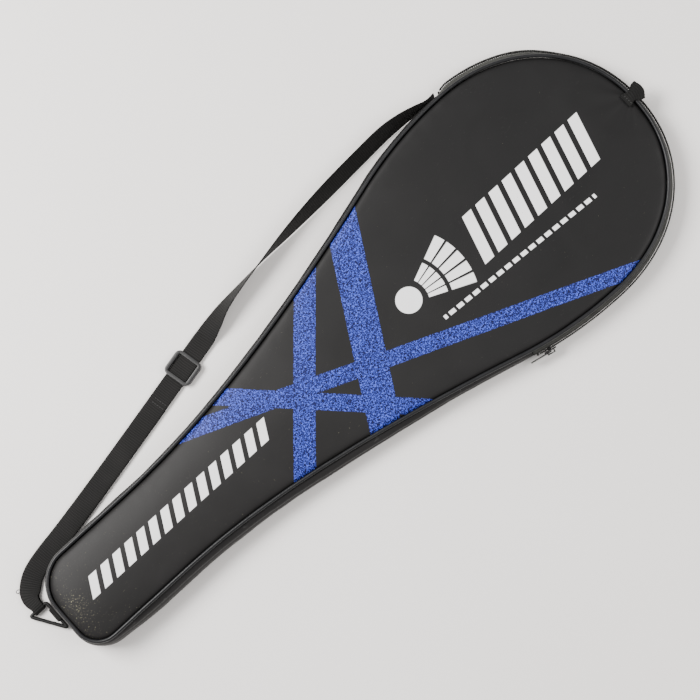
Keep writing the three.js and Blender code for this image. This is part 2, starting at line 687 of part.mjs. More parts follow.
// The end rails stay above the webbing; the bar passes between its two layers' levels, below it.
const WEB_TOP = TOP_LAYER_Z + WEB_T / 2 + GAP + 0.1;
const WEB_BOTTOM = TOP_LAYER_Z - WEB_T / 2 - GAP - 0.1;
const half = ADJUSTER.length / 2 + 1;
const passage = box(-half, half, -ADJUSTER.slot / 2, ADJUSTER.slot / 2, WEB_BOTTOM, WEB_TOP);
const lowerPassage = box(-half, half, -ADJUSTER.slot / 2, ADJUSTER.slot / 2, 0, WEB_BOTTOM + 0.1);
const barReach = ADJUSTER.slot / 2 + 1; // into both side rails
const bar = box(
  -CENTRE_BAR.width / 2,
  CENTRE_BAR.width / 2,
  -barReach,
  barReach,
  CENTRE_BAR.low,
  CENTRE_BAR.high,
);
const rails = cut(cut(railBlank, passage), lowerPassage);
add("strap_adjuster", join([rails, bar]), plastic(), adjuster);

// Triangular ring lying flat: one side in the tab, one in the strap, one free.
const RING_SIDE_X = -364; // the side that the tab holds
const ringCorners = [
  [RING_SIDE_X, -7],
  [RING_SIDE_X, RING_BAR.y],
  [2 * RING_BAR.x - RING_SIDE_X, RING_BAR.y],
];
const RING_ROUND = 2.5;
const ringPath = new THREE.CurvePath();
ringCorners.forEach((corner, i) => {
  const here = new THREE.Vector3(...corner, RING_BAR.z);
  const next = new THREE.Vector3(...ringCorners[(i + 1) % 3], RING_BAR.z);
  const after = new THREE.Vector3(...ringCorners[(i + 2) % 3], RING_BAR.z);
  const toward = (from, to) => from.clone().add(new THREE.Vector3().subVectors(to, from).setLength(RING_ROUND));
  ringPath.add(new THREE.LineCurve3(toward(here, next), toward(next, here)));
  ringPath.add(new THREE.QuadraticBezierCurve3(toward(next, here), next, toward(next, after)));
});
const tubeSections = (points, radius, sides, closed) =>
  points.map((p, i) => {
    const before = points[closed ? (i + points.length - 1) % points.length : Math.max(0, i - 1)];
    const after = points[closed ? (i + 1) % points.length : Math.min(points.length - 1, i + 1)];
    const along = new THREE.Vector3().subVectors(after, before).normalize();
    const level = new THREE.Vector3(along.y, -along.x, 0).normalize();
    const up = new THREE.Vector3().crossVectors(level, along);
    return Array.from({ length: sides }, (_, k) => {
      const a = ((k + 0.5) / sides) * 2 * Math.PI;
      return p.clone().addScaledVector(level, radius * Math.cos(a)).addScaledVector(up, radius * Math.sin(a));
    });
  });
const ringPoints = ringPath.curves.flatMap((curve) =>
  (curve.isLineCurve3 ? [0, 0.5] : [0, 0.35, 0.65]).map((t) => curve.getPoint(t)),
);
add("strap_ring", sweep(tubeSections(ringPoints, RING_BAR.r, 8, true), true), plastic());

// Webbing tab from the end of the gusset, folded round the ring's long side.
const RING_TAB = { from: 2.5, to: 17, thickness: WEB_T };
const tabFold = turnR;
const tabProfile = [];
const tabBar = RING_SIDE_X;
const tabRoot = -HALF_LENGTH - BULGE - GAP;
for (let i = 0; i <= 8; i++) {
  const a = Math.PI / 2 + (i / 8) * Math.PI;
  const outer = tabFold + RING_TAB.thickness / 2;
  tabProfile.push(new THREE.Vector2(tabBar + outer * Math.cos(a), RING_BAR.z + outer * Math.sin(a)));
}
tabProfile.push(new THREE.Vector2(tabRoot, RING_BAR.z - tabFold - RING_TAB.thickness / 2));
tabProfile.push(new THREE.Vector2(tabRoot, RING_BAR.z - tabFold + RING_TAB.thickness / 2));
for (let i = 8; i >= 0; i--) {
  const a = Math.PI / 2 + (i / 8) * Math.PI;
  const inner = tabFold - RING_TAB.thickness / 2;
  tabProfile.push(new THREE.Vector2(tabBar + inner * Math.cos(a), RING_BAR.z + inner * Math.sin(a)));
}
const tabHigh = RING_BAR.z + tabFold;
tabProfile.push(new THREE.Vector2(tabRoot, tabHigh - RING_TAB.thickness / 2));
tabProfile.push(new THREE.Vector2(tabRoot, tabHigh + RING_TAB.thickness / 2));
const ringTab = new THREE.ExtrudeGeometry(new THREE.Shape(tabProfile), {
  depth: RING_TAB.to - RING_TAB.from,
  bevelEnabled: false,
})
  .rotateX(Math.PI / 2)
  .translate(0, RING_TAB.to, 0);
add("ring_tab", ringTab, webbing());

// ---- the racket ------------------------------------------------------------------------------------------------------
// Its own frame: x along the axis from the butt, tipped so that the head lies lower than the grip.
const racket = new THREE.Group();
const headCentre = RACKET_LENGTH - HOOP_HALF_LENGTH;
racket.position.set(BUTT_X, 0, GRIP_Z);
racket.rotation.y = Math.atan2(GRIP_Z - HEAD_Z, headCentre);
model.add(racket);

const CAP_LENGTH = 14;
const HANDLE_LENGTH = 172;
const CONE_LENGTH = 30;
const SHAFT_R = 3.6;
const HANDLE_R = 11.6;
const GRIP_T = 1.7;
const OCTAGON = 8;
const THROAT_LENGTH = 22;
const THROAT_SOCKET = 6; // how far the shaft enters the throat joint
const lathe = (profile, segments) => {
  const points = profile.map(([x, r]) => new THREE.Vector2(r, x));
  return new THREE.LatheGeometry(points, segments).rotateZ(-Math.PI / 2).scale(1, -1, 1);
};
const octagonal = (geometry) => geometry.rotateX(Math.PI / OCTAGON);
const CAP_R = 13.6;
const CAP_CHAMFER = 1.5;
const capProfile = [
  [0, 0],
  [0, CAP_R - CAP_CHAMFER],
  [CAP_CHAMFER, CAP_R],
  [CAP_LENGTH - GAP, CAP_R - 0.6],
  [CAP_LENGTH - GAP, 0],
];
add("butt_cap", octagonal(lathe(capProfile, OCTAGON)), plastic(), racket);
const handleEnd = CAP_LENGTH + HANDLE_LENGTH;
const SOCKET_DEPTH = 60; // how far the shaft enters the wooden handle
const shaftSocket = handleEnd - SOCKET_DEPTH;
const handleWood = [
  [CAP_LENGTH, 0],
  [CAP_LENGTH, HANDLE_R],
  [handleEnd, HANDLE_R],
  [handleEnd, SHAFT_R + GAP],
  [shaftSocket, SHAFT_R + GAP],
  [shaftSocket, 0],
];
add("wooden_handle", octagonal(lathe(handleWood, OCTAGON)), timber(), racket);
const gripWrap = [
  [CAP_LENGTH, HANDLE_R + GAP],
  [CAP_LENGTH, HANDLE_R + GRIP_T + 0.4],
  [handleEnd, HANDLE_R + GRIP_T],
  [handleEnd, HANDLE_R + GAP],
  [CAP_LENGTH, HANDLE_R + GAP],
];
add("grip_wrap", octagonal(lathe(gripWrap, OCTAGON)), grip(), racket);
const coneEnd = handleEnd + CONE_LENGTH;
const coneProfile = [
  [handleEnd + GAP, SHAFT_R + GAP],
  [handleEnd + GAP, HANDLE_R + 0.6],
  [handleEnd + 6, HANDLE_R - 1],
  [coneEnd, SHAFT_R + 1.6],
  [coneEnd, SHAFT_R + GAP],
  [handleEnd + GAP, SHAFT_R + GAP],
];
add("handle_cone", lathe(coneProfile, 16), plastic(), racket);
const hoopStart = headCentre - HOOP_HALF_LENGTH;
const throatStart = hoopStart - THROAT_LENGTH;
const shaftProfile = [
  [shaftSocket + GAP, 0],
  [shaftSocket + GAP, SHAFT_R],
  [throatStart + THROAT_SOCKET, SHAFT_R],
  [throatStart + THROAT_SOCKET, 0],
];
add("shaft", lathe(shaftProfile, 12), carbon(), racket);
const HOOP = { wide: 4.6, tall: 5 };
const throatProfile = [
  [throatStart, SHAFT_R + GAP],
  [throatStart, SHAFT_R + 1],
  [hoopStart - HOOP.wide - GAP - 3, SHAFT_R + 1.4],
  [hoopStart - HOOP.wide - GAP, SHAFT_R + 1.2],
  [hoopStart - HOOP.wide - GAP, 0],
  [throatStart + THROAT_SOCKET + GAP, 0],
  [throatStart + THROAT_SOCKET + GAP, SHAFT_R + GAP],
  [throatStart, SHAFT_R + GAP],
];
add("throat_joint", lathe(throatProfile, 12), carbon(), racket);

// A point of the oval that lies inset from the hoop's outer edge.
const ovalPoint = (angle, inset, z) =>
  new THREE.Vector3(
    headCentre + (HOOP_HALF_LENGTH - inset) * Math.cos(angle),
    (HOOP_HALF_WIDTH - inset) * Math.sin(angle),
    z,
  );
const HOOP_STEPS = 56;
const hoopSections = Array.from({ length: HOOP_STEPS }, (_, i) => {
  const angle = (i / HOOP_STEPS) * 2 * Math.PI;
  return Array.from({ length: 8 }, (_, k) => {
    const a = ((k + 0.5) / 8) * 2 * Math.PI;
    return ovalPoint(angle, HOOP.wide * (1 - Math.cos(a)), HOOP.tall * Math.sin(a));
  });
});
add("hoop_frame", sweep(hoopSections, true), carbon(), racket);

// Grommet strip inside the hoop, then the two strings, each one continuous length that runs back
// and forth between the hoop's sides.
const GROMMET = { from: 2 * HOOP.wide + GAP, thickness: 0.9, half: 2.2, steps: 40 };
const grommetSections = Array.from({ length: GROMMET.steps }, (_, i) => {
  const angle = (i / GROMMET.steps) * 2 * Math.PI;
  const inner = GROMMET.from + GROMMET.thickness;
  return [
    ovalPoint(angle, GROMMET.from, -GROMMET.half),
    ovalPoint(angle, GROMMET.from, GROMMET.half),
    ovalPoint(angle, inner, GROMMET.half),
    ovalPoint(angle, inner, -GROMMET.half),
  ];
});
add("grommet_strip", sweep(grommetSections, true), plastic(), racket);

const STRING_R = 0.5;
const STRING_CLEAR = 1.5; // from the grommet strip to the strings' turns
const MAINS = { count: 20, pitch: 8.3 };
const CROSSES = { count: 21, pitch: 9.8 };
const bedInset = GROMMET.from + GROMMET.thickness + STRING_CLEAR;
const bedLong = HOOP_HALF_LENGTH - bedInset;
const bedWide = HOOP_HALF_WIDTH - bedInset;
const serpentine = ({ count, pitch }, reachAlong, reachAcross, place) => {
  const points = [];
  for (let i = 0; i < count; i++) {
    const at = (i - (count - 1) / 2) * pitch;
    const side = i % 2 ? 1 : -1;
    const reach = reachAlong * Math.sqrt(1 - (at / reachAcross) ** 2);
    for (const part of [-1, -0.9, 0.9, 1]) points.push(place(at, side * part * reach));
  }
  return points;
};
const LAYER = STRING_R + 0.2; // the mains lie this far above the crosses' crossing plane
const mains = serpentine(MAINS, bedLong, bedWide, (y, x) => new THREE.Vector3(headCentre + x, y, LAYER));
const crosses = serpentine(CROSSES, bedWide, bedLong, (x, y) => new THREE.Vector3(headCentre + x, y, -LAYER));
const STRING_SIDES = 4;
add("string_mains", sweep(tubeSections(mains, STRING_R, STRING_SIDES, false)), string(), racket);
add("string_crosses", sweep(tubeSections(crosses, STRING_R, STRING_SIDES, false)), string(), racket);

export default model;
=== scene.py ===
# A badminton racket zipped into its padded vinyl cover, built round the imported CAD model.
# Lengths are millimetres in the CAD frame (+X handle end to head tip, +Y strap side, +Z up) and
# become metres when a mesh is made.
from math import atan2, copysign, cos, dist, exp, hypot, pi, radians, sin, sqrt

import bmesh
import bpy
from mathutils import Matrix, Vector, kdtree, noise


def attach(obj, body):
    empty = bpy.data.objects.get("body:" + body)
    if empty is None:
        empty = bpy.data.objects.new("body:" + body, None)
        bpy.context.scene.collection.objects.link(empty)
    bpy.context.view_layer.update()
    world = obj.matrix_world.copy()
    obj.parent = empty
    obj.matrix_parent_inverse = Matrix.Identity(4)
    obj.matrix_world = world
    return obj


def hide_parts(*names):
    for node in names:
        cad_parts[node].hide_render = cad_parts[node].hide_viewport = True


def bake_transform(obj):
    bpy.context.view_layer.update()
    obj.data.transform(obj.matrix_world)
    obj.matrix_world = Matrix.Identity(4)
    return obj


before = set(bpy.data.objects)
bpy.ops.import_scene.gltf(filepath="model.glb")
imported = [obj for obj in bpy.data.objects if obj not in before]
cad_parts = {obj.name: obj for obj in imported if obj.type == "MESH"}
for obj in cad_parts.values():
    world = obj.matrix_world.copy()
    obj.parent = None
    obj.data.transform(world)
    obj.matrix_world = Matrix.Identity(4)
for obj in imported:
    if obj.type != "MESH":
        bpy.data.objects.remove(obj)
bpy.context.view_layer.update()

MM = 0.001


def lerp(a, b, t):
    return a + (b - a) * t


def smoothstep(x, low, high):
    t = min(1.0, max(0.0, (x - low) / (high - low)))
    return t * t * (3 - 2 * t)


# ---- driving dimensions ---------------------------------------------------------------------
HALF_LENGTH = 354.0
HANDLE_HALF = 45.0
HEAD_HALF = 122.0
WIDEST_X = 221.0
HEAD_EXPONENT = 2.12
SHOULDER_RADIUS = 385.0
SHOULDER_X = 116.0
TAPER_X = -244.0
CORNER_STRAP, CORNER_FAR = 35.0, 24.0
HEIGHT_HANDLE, HEIGHT_HEAD = 31.0, 22.0
CROWN_HANDLE, CROWN_HEAD = 5.0, 1.4
PANEL = 2.0
PIPING_R = 1.8
BACK_FLARE = 1.5
BULGE, ZIP_BULGE = 4.5, 3.5
ZIP_START_X, ZIP_END_X, ZIP_Z = 224.0, 126.0, 11.0
GAP = 0.3


def height(x):
    return lerp(HEIGHT_HANDLE, HEIGHT_HEAD, smoothstep(x, -HALF_LENGTH, 60))


def crown(x):
    return lerp(CROWN_HANDLE, CROWN_HEAD, smoothstep(x, -180, 120))


# ---- meshes ---------------------------------------------------------------------------------
def lowered(grid, drop):
    """A grid of points moved down."""
    return [[Vector((p.x, p.y, p.z - drop)) for p in row] for row in grid]


def plan(grid):
    """Texture positions of a grid's points: where they are seen from above."""
    return lambda i, j: (grid[i][j].x, grid[i][j].y)


def flat_ring(centre, wide, thin, half, half_thick):
    """The rounded flat section of a band of webbing, as a ring of 20 points."""
    return [centre + wide * (squared(cos(a), 0.45) * half) + thin * (squared(sin(a), 0.5) * half_thick)
            for a in turns(20)]


def heading(path, i):
    """The direction of a path of points at point i."""
    return (path[min(len(path) - 1, i + 1)] - path[max(0, i - 1)]).normalized()


def turns(count):
    """Equal angles once round a circle."""
    return [2 * pi * k / count for k in range(count)]


def squared(value, power):
    """A cosine or sine pushed out towards -1 or 1, for flat sections with round corners."""
    return copysign(abs(value) ** power, value)


def piece(name, points, faces, material, uvs=None, smooth=True):
    """A mesh object from points in millimetres; uvs are millimetres too, one pair a point."""
    mesh = bpy.data.meshes.new(name)
    mesh.from_pydata([tuple(c * MM for c in p) for p in points], [], faces)
    obj = bpy.data.objects.new(name, mesh)
    bpy.context.collection.objects.link(obj)
    mesh.materials.append(material)
    if uvs:
        layer = mesh.uv_layers.new(name="UVMap")
        for loop in mesh.loops:
            u, v = uvs[loop.vertex_index]
            layer.data[loop.index].uv = (u * MM, v * MM)
    bm = bmesh.new()
    bm.from_mesh(mesh)
    bmesh.ops.recalc_face_normals(bm, faces=bm.faces)
    bm.to_mesh(mesh)
    bm.free()
    for polygon in mesh.polygons:
        polygon.use_smooth = smooth
    return obj


def grid_faces(rows, columns, start=0, wrap_rows=False, wrap_columns=False):
    faces = []
    for i in range(rows if wrap_rows else rows - 1):
        for j in range(columns if wrap_columns else columns - 1):
            k, m = (i + 1) % rows, (j + 1) % columns
            faces.append(tuple(start + a * columns + b for a, b in ((i, j), (k, j), (k, m), (i, m))))
    return faces


def slab(name, face, back, material, uv=None):
    """A sheet body between two grids of points; uv gives each grid place's texture position."""
    rows, columns = len(face), len(face[0])
    points = [p for row in face for p in row] + [p for row in back for p in row]
    shift = rows * columns
    faces = grid_faces(rows, columns) + grid_faces(rows, columns, shift)
    rim = [(i, 0) for i in range(rows)] + [(rows - 1, j) for j in range(1, columns)]
    rim += [(i, columns - 1) for i in range(rows - 2, -1, -1)] + [(0, j) for j in range(columns - 2, 0, -1)]
    flat = [i * columns + j for i, j in rim]
    for a, b in zip(flat, flat[1:] + flat[:1]):
        faces.append((a, b, shift + b, shift + a))
    uvs = None
    if uv:
        once = [uv(i, j) for i in range(rows) for j in range(columns)]
        uvs = once + once
    return piece(name, points, faces, material, uvs)


def sweep(name, sections, material, closed=False, along=None, around=None):
    """A body swept through rings of points; along gives each ring's distance for its texture."""
    rows, columns = len(sections), len(sections[0])
    points = [p for ring in sections for p in ring]
    faces = grid_faces(rows, columns, wrap_rows=closed, wrap_columns=True)
    if not closed:
        faces.append(tuple(range(columns)))
        faces.append(tuple(range((rows - 1) * columns, rows * columns)))
    if along is None:
        centres = [sum((Vector(p) for p in ring), Vector()) / columns for ring in sections]
        along = [0.0]
        for a, b in zip(centres, centres[1:]):
            along.append(along[-1] + (b - a).length)
    if around is None:
        first = [Vector(p) for p in sections[rows // 2]]
        around = [0.0]
        for a, b in zip(first, first[1:]):
            around.append(around[-1] + (b - a).length)
    uvs = [(along[i], around[j]) for i in range(rows) for j in range(columns)]
    return piece(name, points, faces, material, uvs)


def frames(points, closed=False):
    """For each point of a path: a level direction across it, and the one upwards."""
    made = []
    n = len(points)
    for i in range(n):
        before = points[(i - 1) % n if closed else max(0, i - 1)]
        after = points[(i + 1) % n if closed else min(n - 1, i + 1)]
        forward = (after - before).normalized()
        side = Vector((forward.y, -forward.x, 0))
        side = side.normalized() if side.length > 1e-6 else Vector((0, 1, 0))
        made.append((side, side.cross(forward)))
    return made


def tube(name, points, radius, sides, material, closed=False):
    """A round rod along a path."""
    sections = []
    for p, (side, up) in zip(points, frames(points, closed)):
        sections.append([p + side * (radius * cos(a)) + up * (radius * sin(a)) for a in turns(sides)])
    return sweep(name, sections, material, closed)


def spline(values, step):
    """Points along a Catmull-Rom curve through rows of numbers whose first three are x, y, z."""
    rows = [list(values[0])] + [list(v) for v in values] + [list(values[-1])]
    made = []
    for a, b, c, d in zip(rows, rows[1:], rows[2:], rows[3:]):
        count = max(1, round(dist(b[:3], c[:3]) / step))
        for s in range(count):
            t = s / count
            made.append([
                0.5 * (2 * q + (r - p) * t + (2 * p - 5 * q + 4 * r - s3) * t * t
                       + (3 * q - p - 3 * r + s3) * t ** 3)
                for p, q, r, s3 in zip(a, b, c, d)
            ])
    made.append(rows[-1])
    return made


def dress(obj, slot, body, *nodes):
    """Attaches a piece to the body it rides on and hides the CAD nodes that it stands in for; slot is not
    used.
    """
    if nodes:
        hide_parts(*nodes)
    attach(obj, body)


def rounded_copy(node, name, material, width, slot, body, segments=2):
    """A new piece with a hard CAD node's shape and softened edges, that replaces the node."""
    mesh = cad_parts[node].data.copy()
    mesh.name = name
    obj = bpy.data.objects.new(name, mesh)
    bpy.context.collection.objects.link(obj)
    bm = bmesh.new()
    bm.from_mesh(mesh)
    bmesh.ops.remove_doubles(bm, verts=bm.verts, dist=1e-6)
    bmesh.ops.dissolve_limit(bm, angle_limit=radians(1), verts=bm.verts, edges=bm.edges)
    sharp = [e for e in bm.edges if len(e.link_faces) == 2 and e.calc_face_angle(0) > radians(25)]
    bmesh.ops.bevel(
        bm, geom=sharp, offset=width * MM, segments=segments, profile=0.5, affect="EDGES", clamp_overlap=True
    )
    bmesh.ops.triangulate(bm, faces=[f for f in bm.faces if len(f.verts) > 4])
    bm.to_mesh(mesh)
    bm.free()
    for polygon in mesh.polygons:
        polygon.use_smooth = True
    mesh.set_sharp_from_angle(angle=radians(35))
    mesh.materials.clear()
    mesh.materials.append(material)
    dress(obj, slot, body, node)


def ripple(x, y, size, seed=0.0):
    """Smooth noise from -1 to 1 with features of the given size."""
    return noise.noise(Vector((x / size, y / size, seed)))


# ---- materials ------------------------------------------------------------------------------
class Value:
    """A shader socket that ordinary arithmetic works on."""

    def __init__(self, graph, socket):
        self.graph, self.socket = graph, socket

    def math(self, operation, *others):
        return self.graph.math(operation, self, *others)

    def __add__(self, other): return self.math("ADD", other)
    def __radd__(self, other): return self.math("ADD", other)
    def __sub__(self, other): return self.math("SUBTRACT", other)
    def __rsub__(self, other): return self.graph.math("SUBTRACT", other, self)
    def __mul__(self, other): return self.math("MULTIPLY", other)
    def __rmul__(self, other): return self.math("MULTIPLY", other)
    def __truediv__(self, other): return self.math("DIVIDE", other)
    def either(self, other): return self.math("MAXIMUM", other)

    def above(self, level, soft):
        """0 well below the level and 1 well above it."""
        return self.graph.remap(self, level - soft, level + soft)

    def below(self, level, soft):
        return 1.0 - self.above(level, soft)


class Graph:
    """A node material whose texture space is in millimetres: the mesh's UVs, or object space."""

    def __init__(self, name, space="UV"):
        self.material = bpy.data.materials.new(name)
        self.material.use_nodes = True
        self.tree = self.material.node_tree
        self.shader = self.tree.nodes["Principled BSDF"]
        coordinates = self.node("TexCoord")
        scale = self.node("VectorMath")
        scale.operation = "SCALE"
        scale.inputs["Scale"].default_value = 1 / MM
        self.tree.links.new(coordinates.outputs[space], scale.inputs[0])
        self.place = scale.outputs[0]
        split = self.node("SeparateXYZ")
        self.tree.links.new(self.place, split.inputs[0])
        self.x, self.y, self.z = (Value(self, split.outputs[k]) for k in range(3))

    def node(self, kind):
        return self.tree.nodes.new("ShaderNode" + kind)

    def feed(self, socket, value):
        if isinstance(value, Value):
            self.tree.links.new(value.socket, socket)
        elif hasattr(value, "is_output"):
            self.tree.links.new(value, socket)
        else:
            socket.default_value = value

    def math(self, operation, *values):
        node = self.node("Math")
        node.operation = operation
        for k, value in enumerate(values):
            self.feed(node.inputs[k], value)
        return Value(self, node.outputs[0])

    def remap(self, value, low, high):
        node = self.node("MapRange")
        node.interpolation_type = "SMOOTHSTEP"
        for k, v in enumerate((value, low, high)):
            self.feed(node.inputs[k], v)
        return Value(self, node.outputs[0])

    def texture(self, kind, size, stretch):
        """A texture node whose features have the given size in millimetres."""
        mapping = self.node("Mapping")
        mapping.inputs["Scale"].default_value = [s / size for s in stretch]
        self.tree.links.new(self.place, mapping.inputs[0])
        node = self.node(kind)
        node.inputs["Scale"].default_value = 1.0
        self.tree.links.new(mapping.outputs[0], node.inputs["Vector"])
        return node

    def noise(self, size, detail=2.0, distortion=0.0, stretch=(1, 1, 1)):
        """Smooth noise about 0.5."""
        node = self.texture("TexNoise", size, stretch)
        node.inputs["Detail"].default_value = detail
        node.inputs["Distortion"].default_value = distortion
        return Value(self, node.outputs["Fac"])

    def cells(self, size):
        """Distance to the nearest of scattered points, one to a cell."""
        return Value(self, self.texture("TexVoronoi", size, (1, 1, 1)).outputs["Distance"])

    def mix(self, amount, first, second):
        """A colour between two, each a triple or a socket."""
        node = self.node("Mix")
        node.data_type = "RGBA"
        self.feed(node.inputs[0], amount)
        for socket, colour in ((node.inputs[6], first), (node.inputs[7], second)):
            self.feed(socket, (*colour, 1) if isinstance(colour, tuple) else colour)
        return node.outputs[2]

    def distance(self, x, y):
        return (x * x + y * y).math("SQRT")

    def finish(self, colour, roughness, bump=None, depth=0.1, **plain):
        """Connects the shader; depth is the bump's height in millimetres."""
        self.feed(self.shader.inputs["Base Color"], (*colour, 1) if isinstance(colour, tuple) else colour)
        self.feed(self.shader.inputs["Roughness"], roughness)
        if bump is not None:
            node = self.node("Bump")
            node.inputs["Strength"].default_value = 1.0
            node.inputs["Distance"].default_value = depth * MM
            self.feed(node.inputs["Height"], bump)
            self.tree.links.new(node.outputs[0], self.shader.inputs["Normal"])
        for name, value in plain.items():
            self.shader.inputs[name.replace("_", " ")].default_value = value
        return self.material


VINYL_DARK = (0.0095, 0.0092, 0.0093)
VINYL_LIGHT = (0.0160, 0.0153, 0.0155)
# Painted shade: the darker tone that the printed panel is mixed towards at the head end.
PAINTED_HEAD_SHADE = (0.0045, 0.0046, 0.0050)


def vinyl_grain(g):
    """The embossed grain and slow unevenness that every vinyl surface shares."""
    grain = g.cells(0.9) * 0.5 + g.noise(0.6, 3) * 0.5
    patches = g.noise(55, 3, 0.6)
    scuffs = g.noise(3.0, 4, 2.5, (0.3, 1, 1)).above(0.68, 0.05) * g.noise(30, 1).above(0.55, 0.08)
    return grain, patches, scuffs


def make_vinyl(name):
    g = Graph(name)
    grain, patches, scuffs = vinyl_grain(g)
    colour = g.mix(patches, VINYL_DARK, VINYL_LIGHT)
    colour = g.mix(scuffs * 0.35, colour, (0.16, 0.16, 0.155))
    return g.finish(colour, patches * 0.12 + 0.42 + scuffs * 0.15, grain, 0.05, Specular_IOR_Level=0.20)


def make_welt(name):
    g = Graph(name)
    patches = g.noise(18, 3)
    colour = g.mix(patches, (0.006, 0.0062, 0.007), (0.013, 0.0135, 0.015))
    creases = g.noise(1.6, 2, 0, (1, 0.25, 1))
    return g.finish(colour, patches * 0.14 + 0.30, creases, 0.10, Specular_IOR_Level=0.26)


def make_lining(name):
    g = Graph(name)
    warp = (g.x * (pi / 0.45)).math("SINE") * (g.y * (pi / 0.45)).math("SINE")
    colour = g.mix(g.noise(25, 3), (0.020, 0.020, 0.021), (0.034, 0.034, 0.036))
    return g.finish(colour, 0.85, warp * 0.5 + 0.5, 0.08, Sheen_Weight=0.25, Sheen_Roughness=0.5)


WEB_RIB = 2.2  # pitch of the webbing's cross ribs


def make_webbing(name, shade=1.0):
    """Ribbed webbing; shade scales how light its ribs are."""
    g = Graph(name)
    rib = ((g.x / WEB_RIB + g.noise(9) * 0.5) * (2 * pi)).math("SINE") * 0.5 + 0.5
    column = (g.y * (2 * pi / 1.6)).math("COSINE") * 0.5 + 0.5
    fuzz = g.noise(0.35, 3)
    bump = rib * 0.8 + column * 0.15 + fuzz * 0.25
    colour = g.mix((rib * 0.8 + fuzz * 0.2) * shade, (0.0006, 0.0006, 0.0006), (0.0088, 0.0084, 0.0080))
    colour = g.mix(g.noise(40, 2).above(0.55, 0.15) * (0.2 * shade), colour, (0.016, 0.015, 0.014))
    return g.finish(colour, 0.75, bump, 0.30, Sheen_Weight=0.05, Sheen_Roughness=0.4, Specular_IOR_Level=0.22)


def make_tape(name):
    g = Graph(name)
    twill = ((g.x + g.y.math("PINGPONG", 1.2)) * (2 * pi / 1.1)).math("SINE") * 0.5 + 0.5
    fuzz = g.noise(0.4, 3)
    colour = g.mix(twill * 0.6 + fuzz * 0.4, (0.012, 0.0125, 0.011), (0.050, 0.052, 0.046))
    colour = g.mix(g.noise(14, 3).above(0.6, 0.08) * 0.6, colour, (0.010, 0.010, 0.010))
    return g.finish(colour, 0.88, twill + fuzz * 0.6, 0.25, Sheen_Weight=0.05, Specular_IOR_Level=0.25)


def make_plain(name, dark, light, roughness, grain_size, depth, **plain):
    """Moulded, plated or lacquered parts: uneven colour and gloss with a fine surface."""
    g = Graph(name, "Object")
    spread = 0.1  # how far the roughness varies
    patches = g.noise(9, 4, 0.5)
    wear = g.noise(2.4, 5, 0.8).above(0.63, 0.06)
    colour = g.mix(patches, dark, light)
    colour = g.mix(wear * 0.25, colour, tuple(min(1.0, c * 2.2 + 0.02) for c in light))
    return g.finish(colour, patches * spread + (roughness - spread / 2) + wear * 0.08,
                    g.noise(grain_size, 3), depth, **plain)


def make_timber(name):
    g = Graph(name, "Object")
    rings = g.noise(3.2, 4, 1.2, (0.04, 1, 1))
    pores = g.noise(0.5, 2, 0, (0.03, 1, 1)).above(0.6, 0.08)
    colour = g.mix(rings, (0.36, 0.19, 0.075), (0.60, 0.38, 0.17))
    colour = g.mix(pores * 0.5, colour, (0.20, 0.10, 0.04))
    return g.finish(colour, 0.6, rings + pores * -0.6, 0.12)


def make_grip(name):
    g = Graph(name)
    holes = g.cells(2.6).below(0.16, 0.03)
    soil = g.noise(20, 4, 0.8)
    colour = g.mix(soil, (0.50, 0.50, 0.47), (0.74, 0.74, 0.71))
    colour = g.mix(holes * 0.8, colour, (0.16, 0.15, 0.14))
    return g.finish(colour, 0.72, holes * -0.8 + g.noise(0.5, 3) * 0.3, 0.15)


def make_string(name):
    g = Graph(name)
    twist = ((g.x + g.y * 1.8) * (2 * pi / 1.2)).math("SINE") * 0.5 + 0.5
    colour = g.mix(twist, (0.70, 0.70, 0.64), (0.86, 0.86, 0.81))
    return g.finish(colour, 0.38, twist, 0.04)


# Printed bands on the front panel: the two edges of each, as a point on the line and another.
BANDS = [
    (((2.1, 78.8), (-116.4, -53.4)), ((36.4, 86.3), (-92.8, -57.5))),
    (((57.6, 91.1), (-35.7, -69.7)), ((97.4, 99.2), (5.9, -57.7))),
    (((65.5, -36.4), (-34.5, 5.8)), ((54.9, -48.0), (-45.4, -6.4))),
    (((-107, 57.3), (5.9, -57.7)), ((-126.8, 54.2), (-29.5, -44.0))),
]


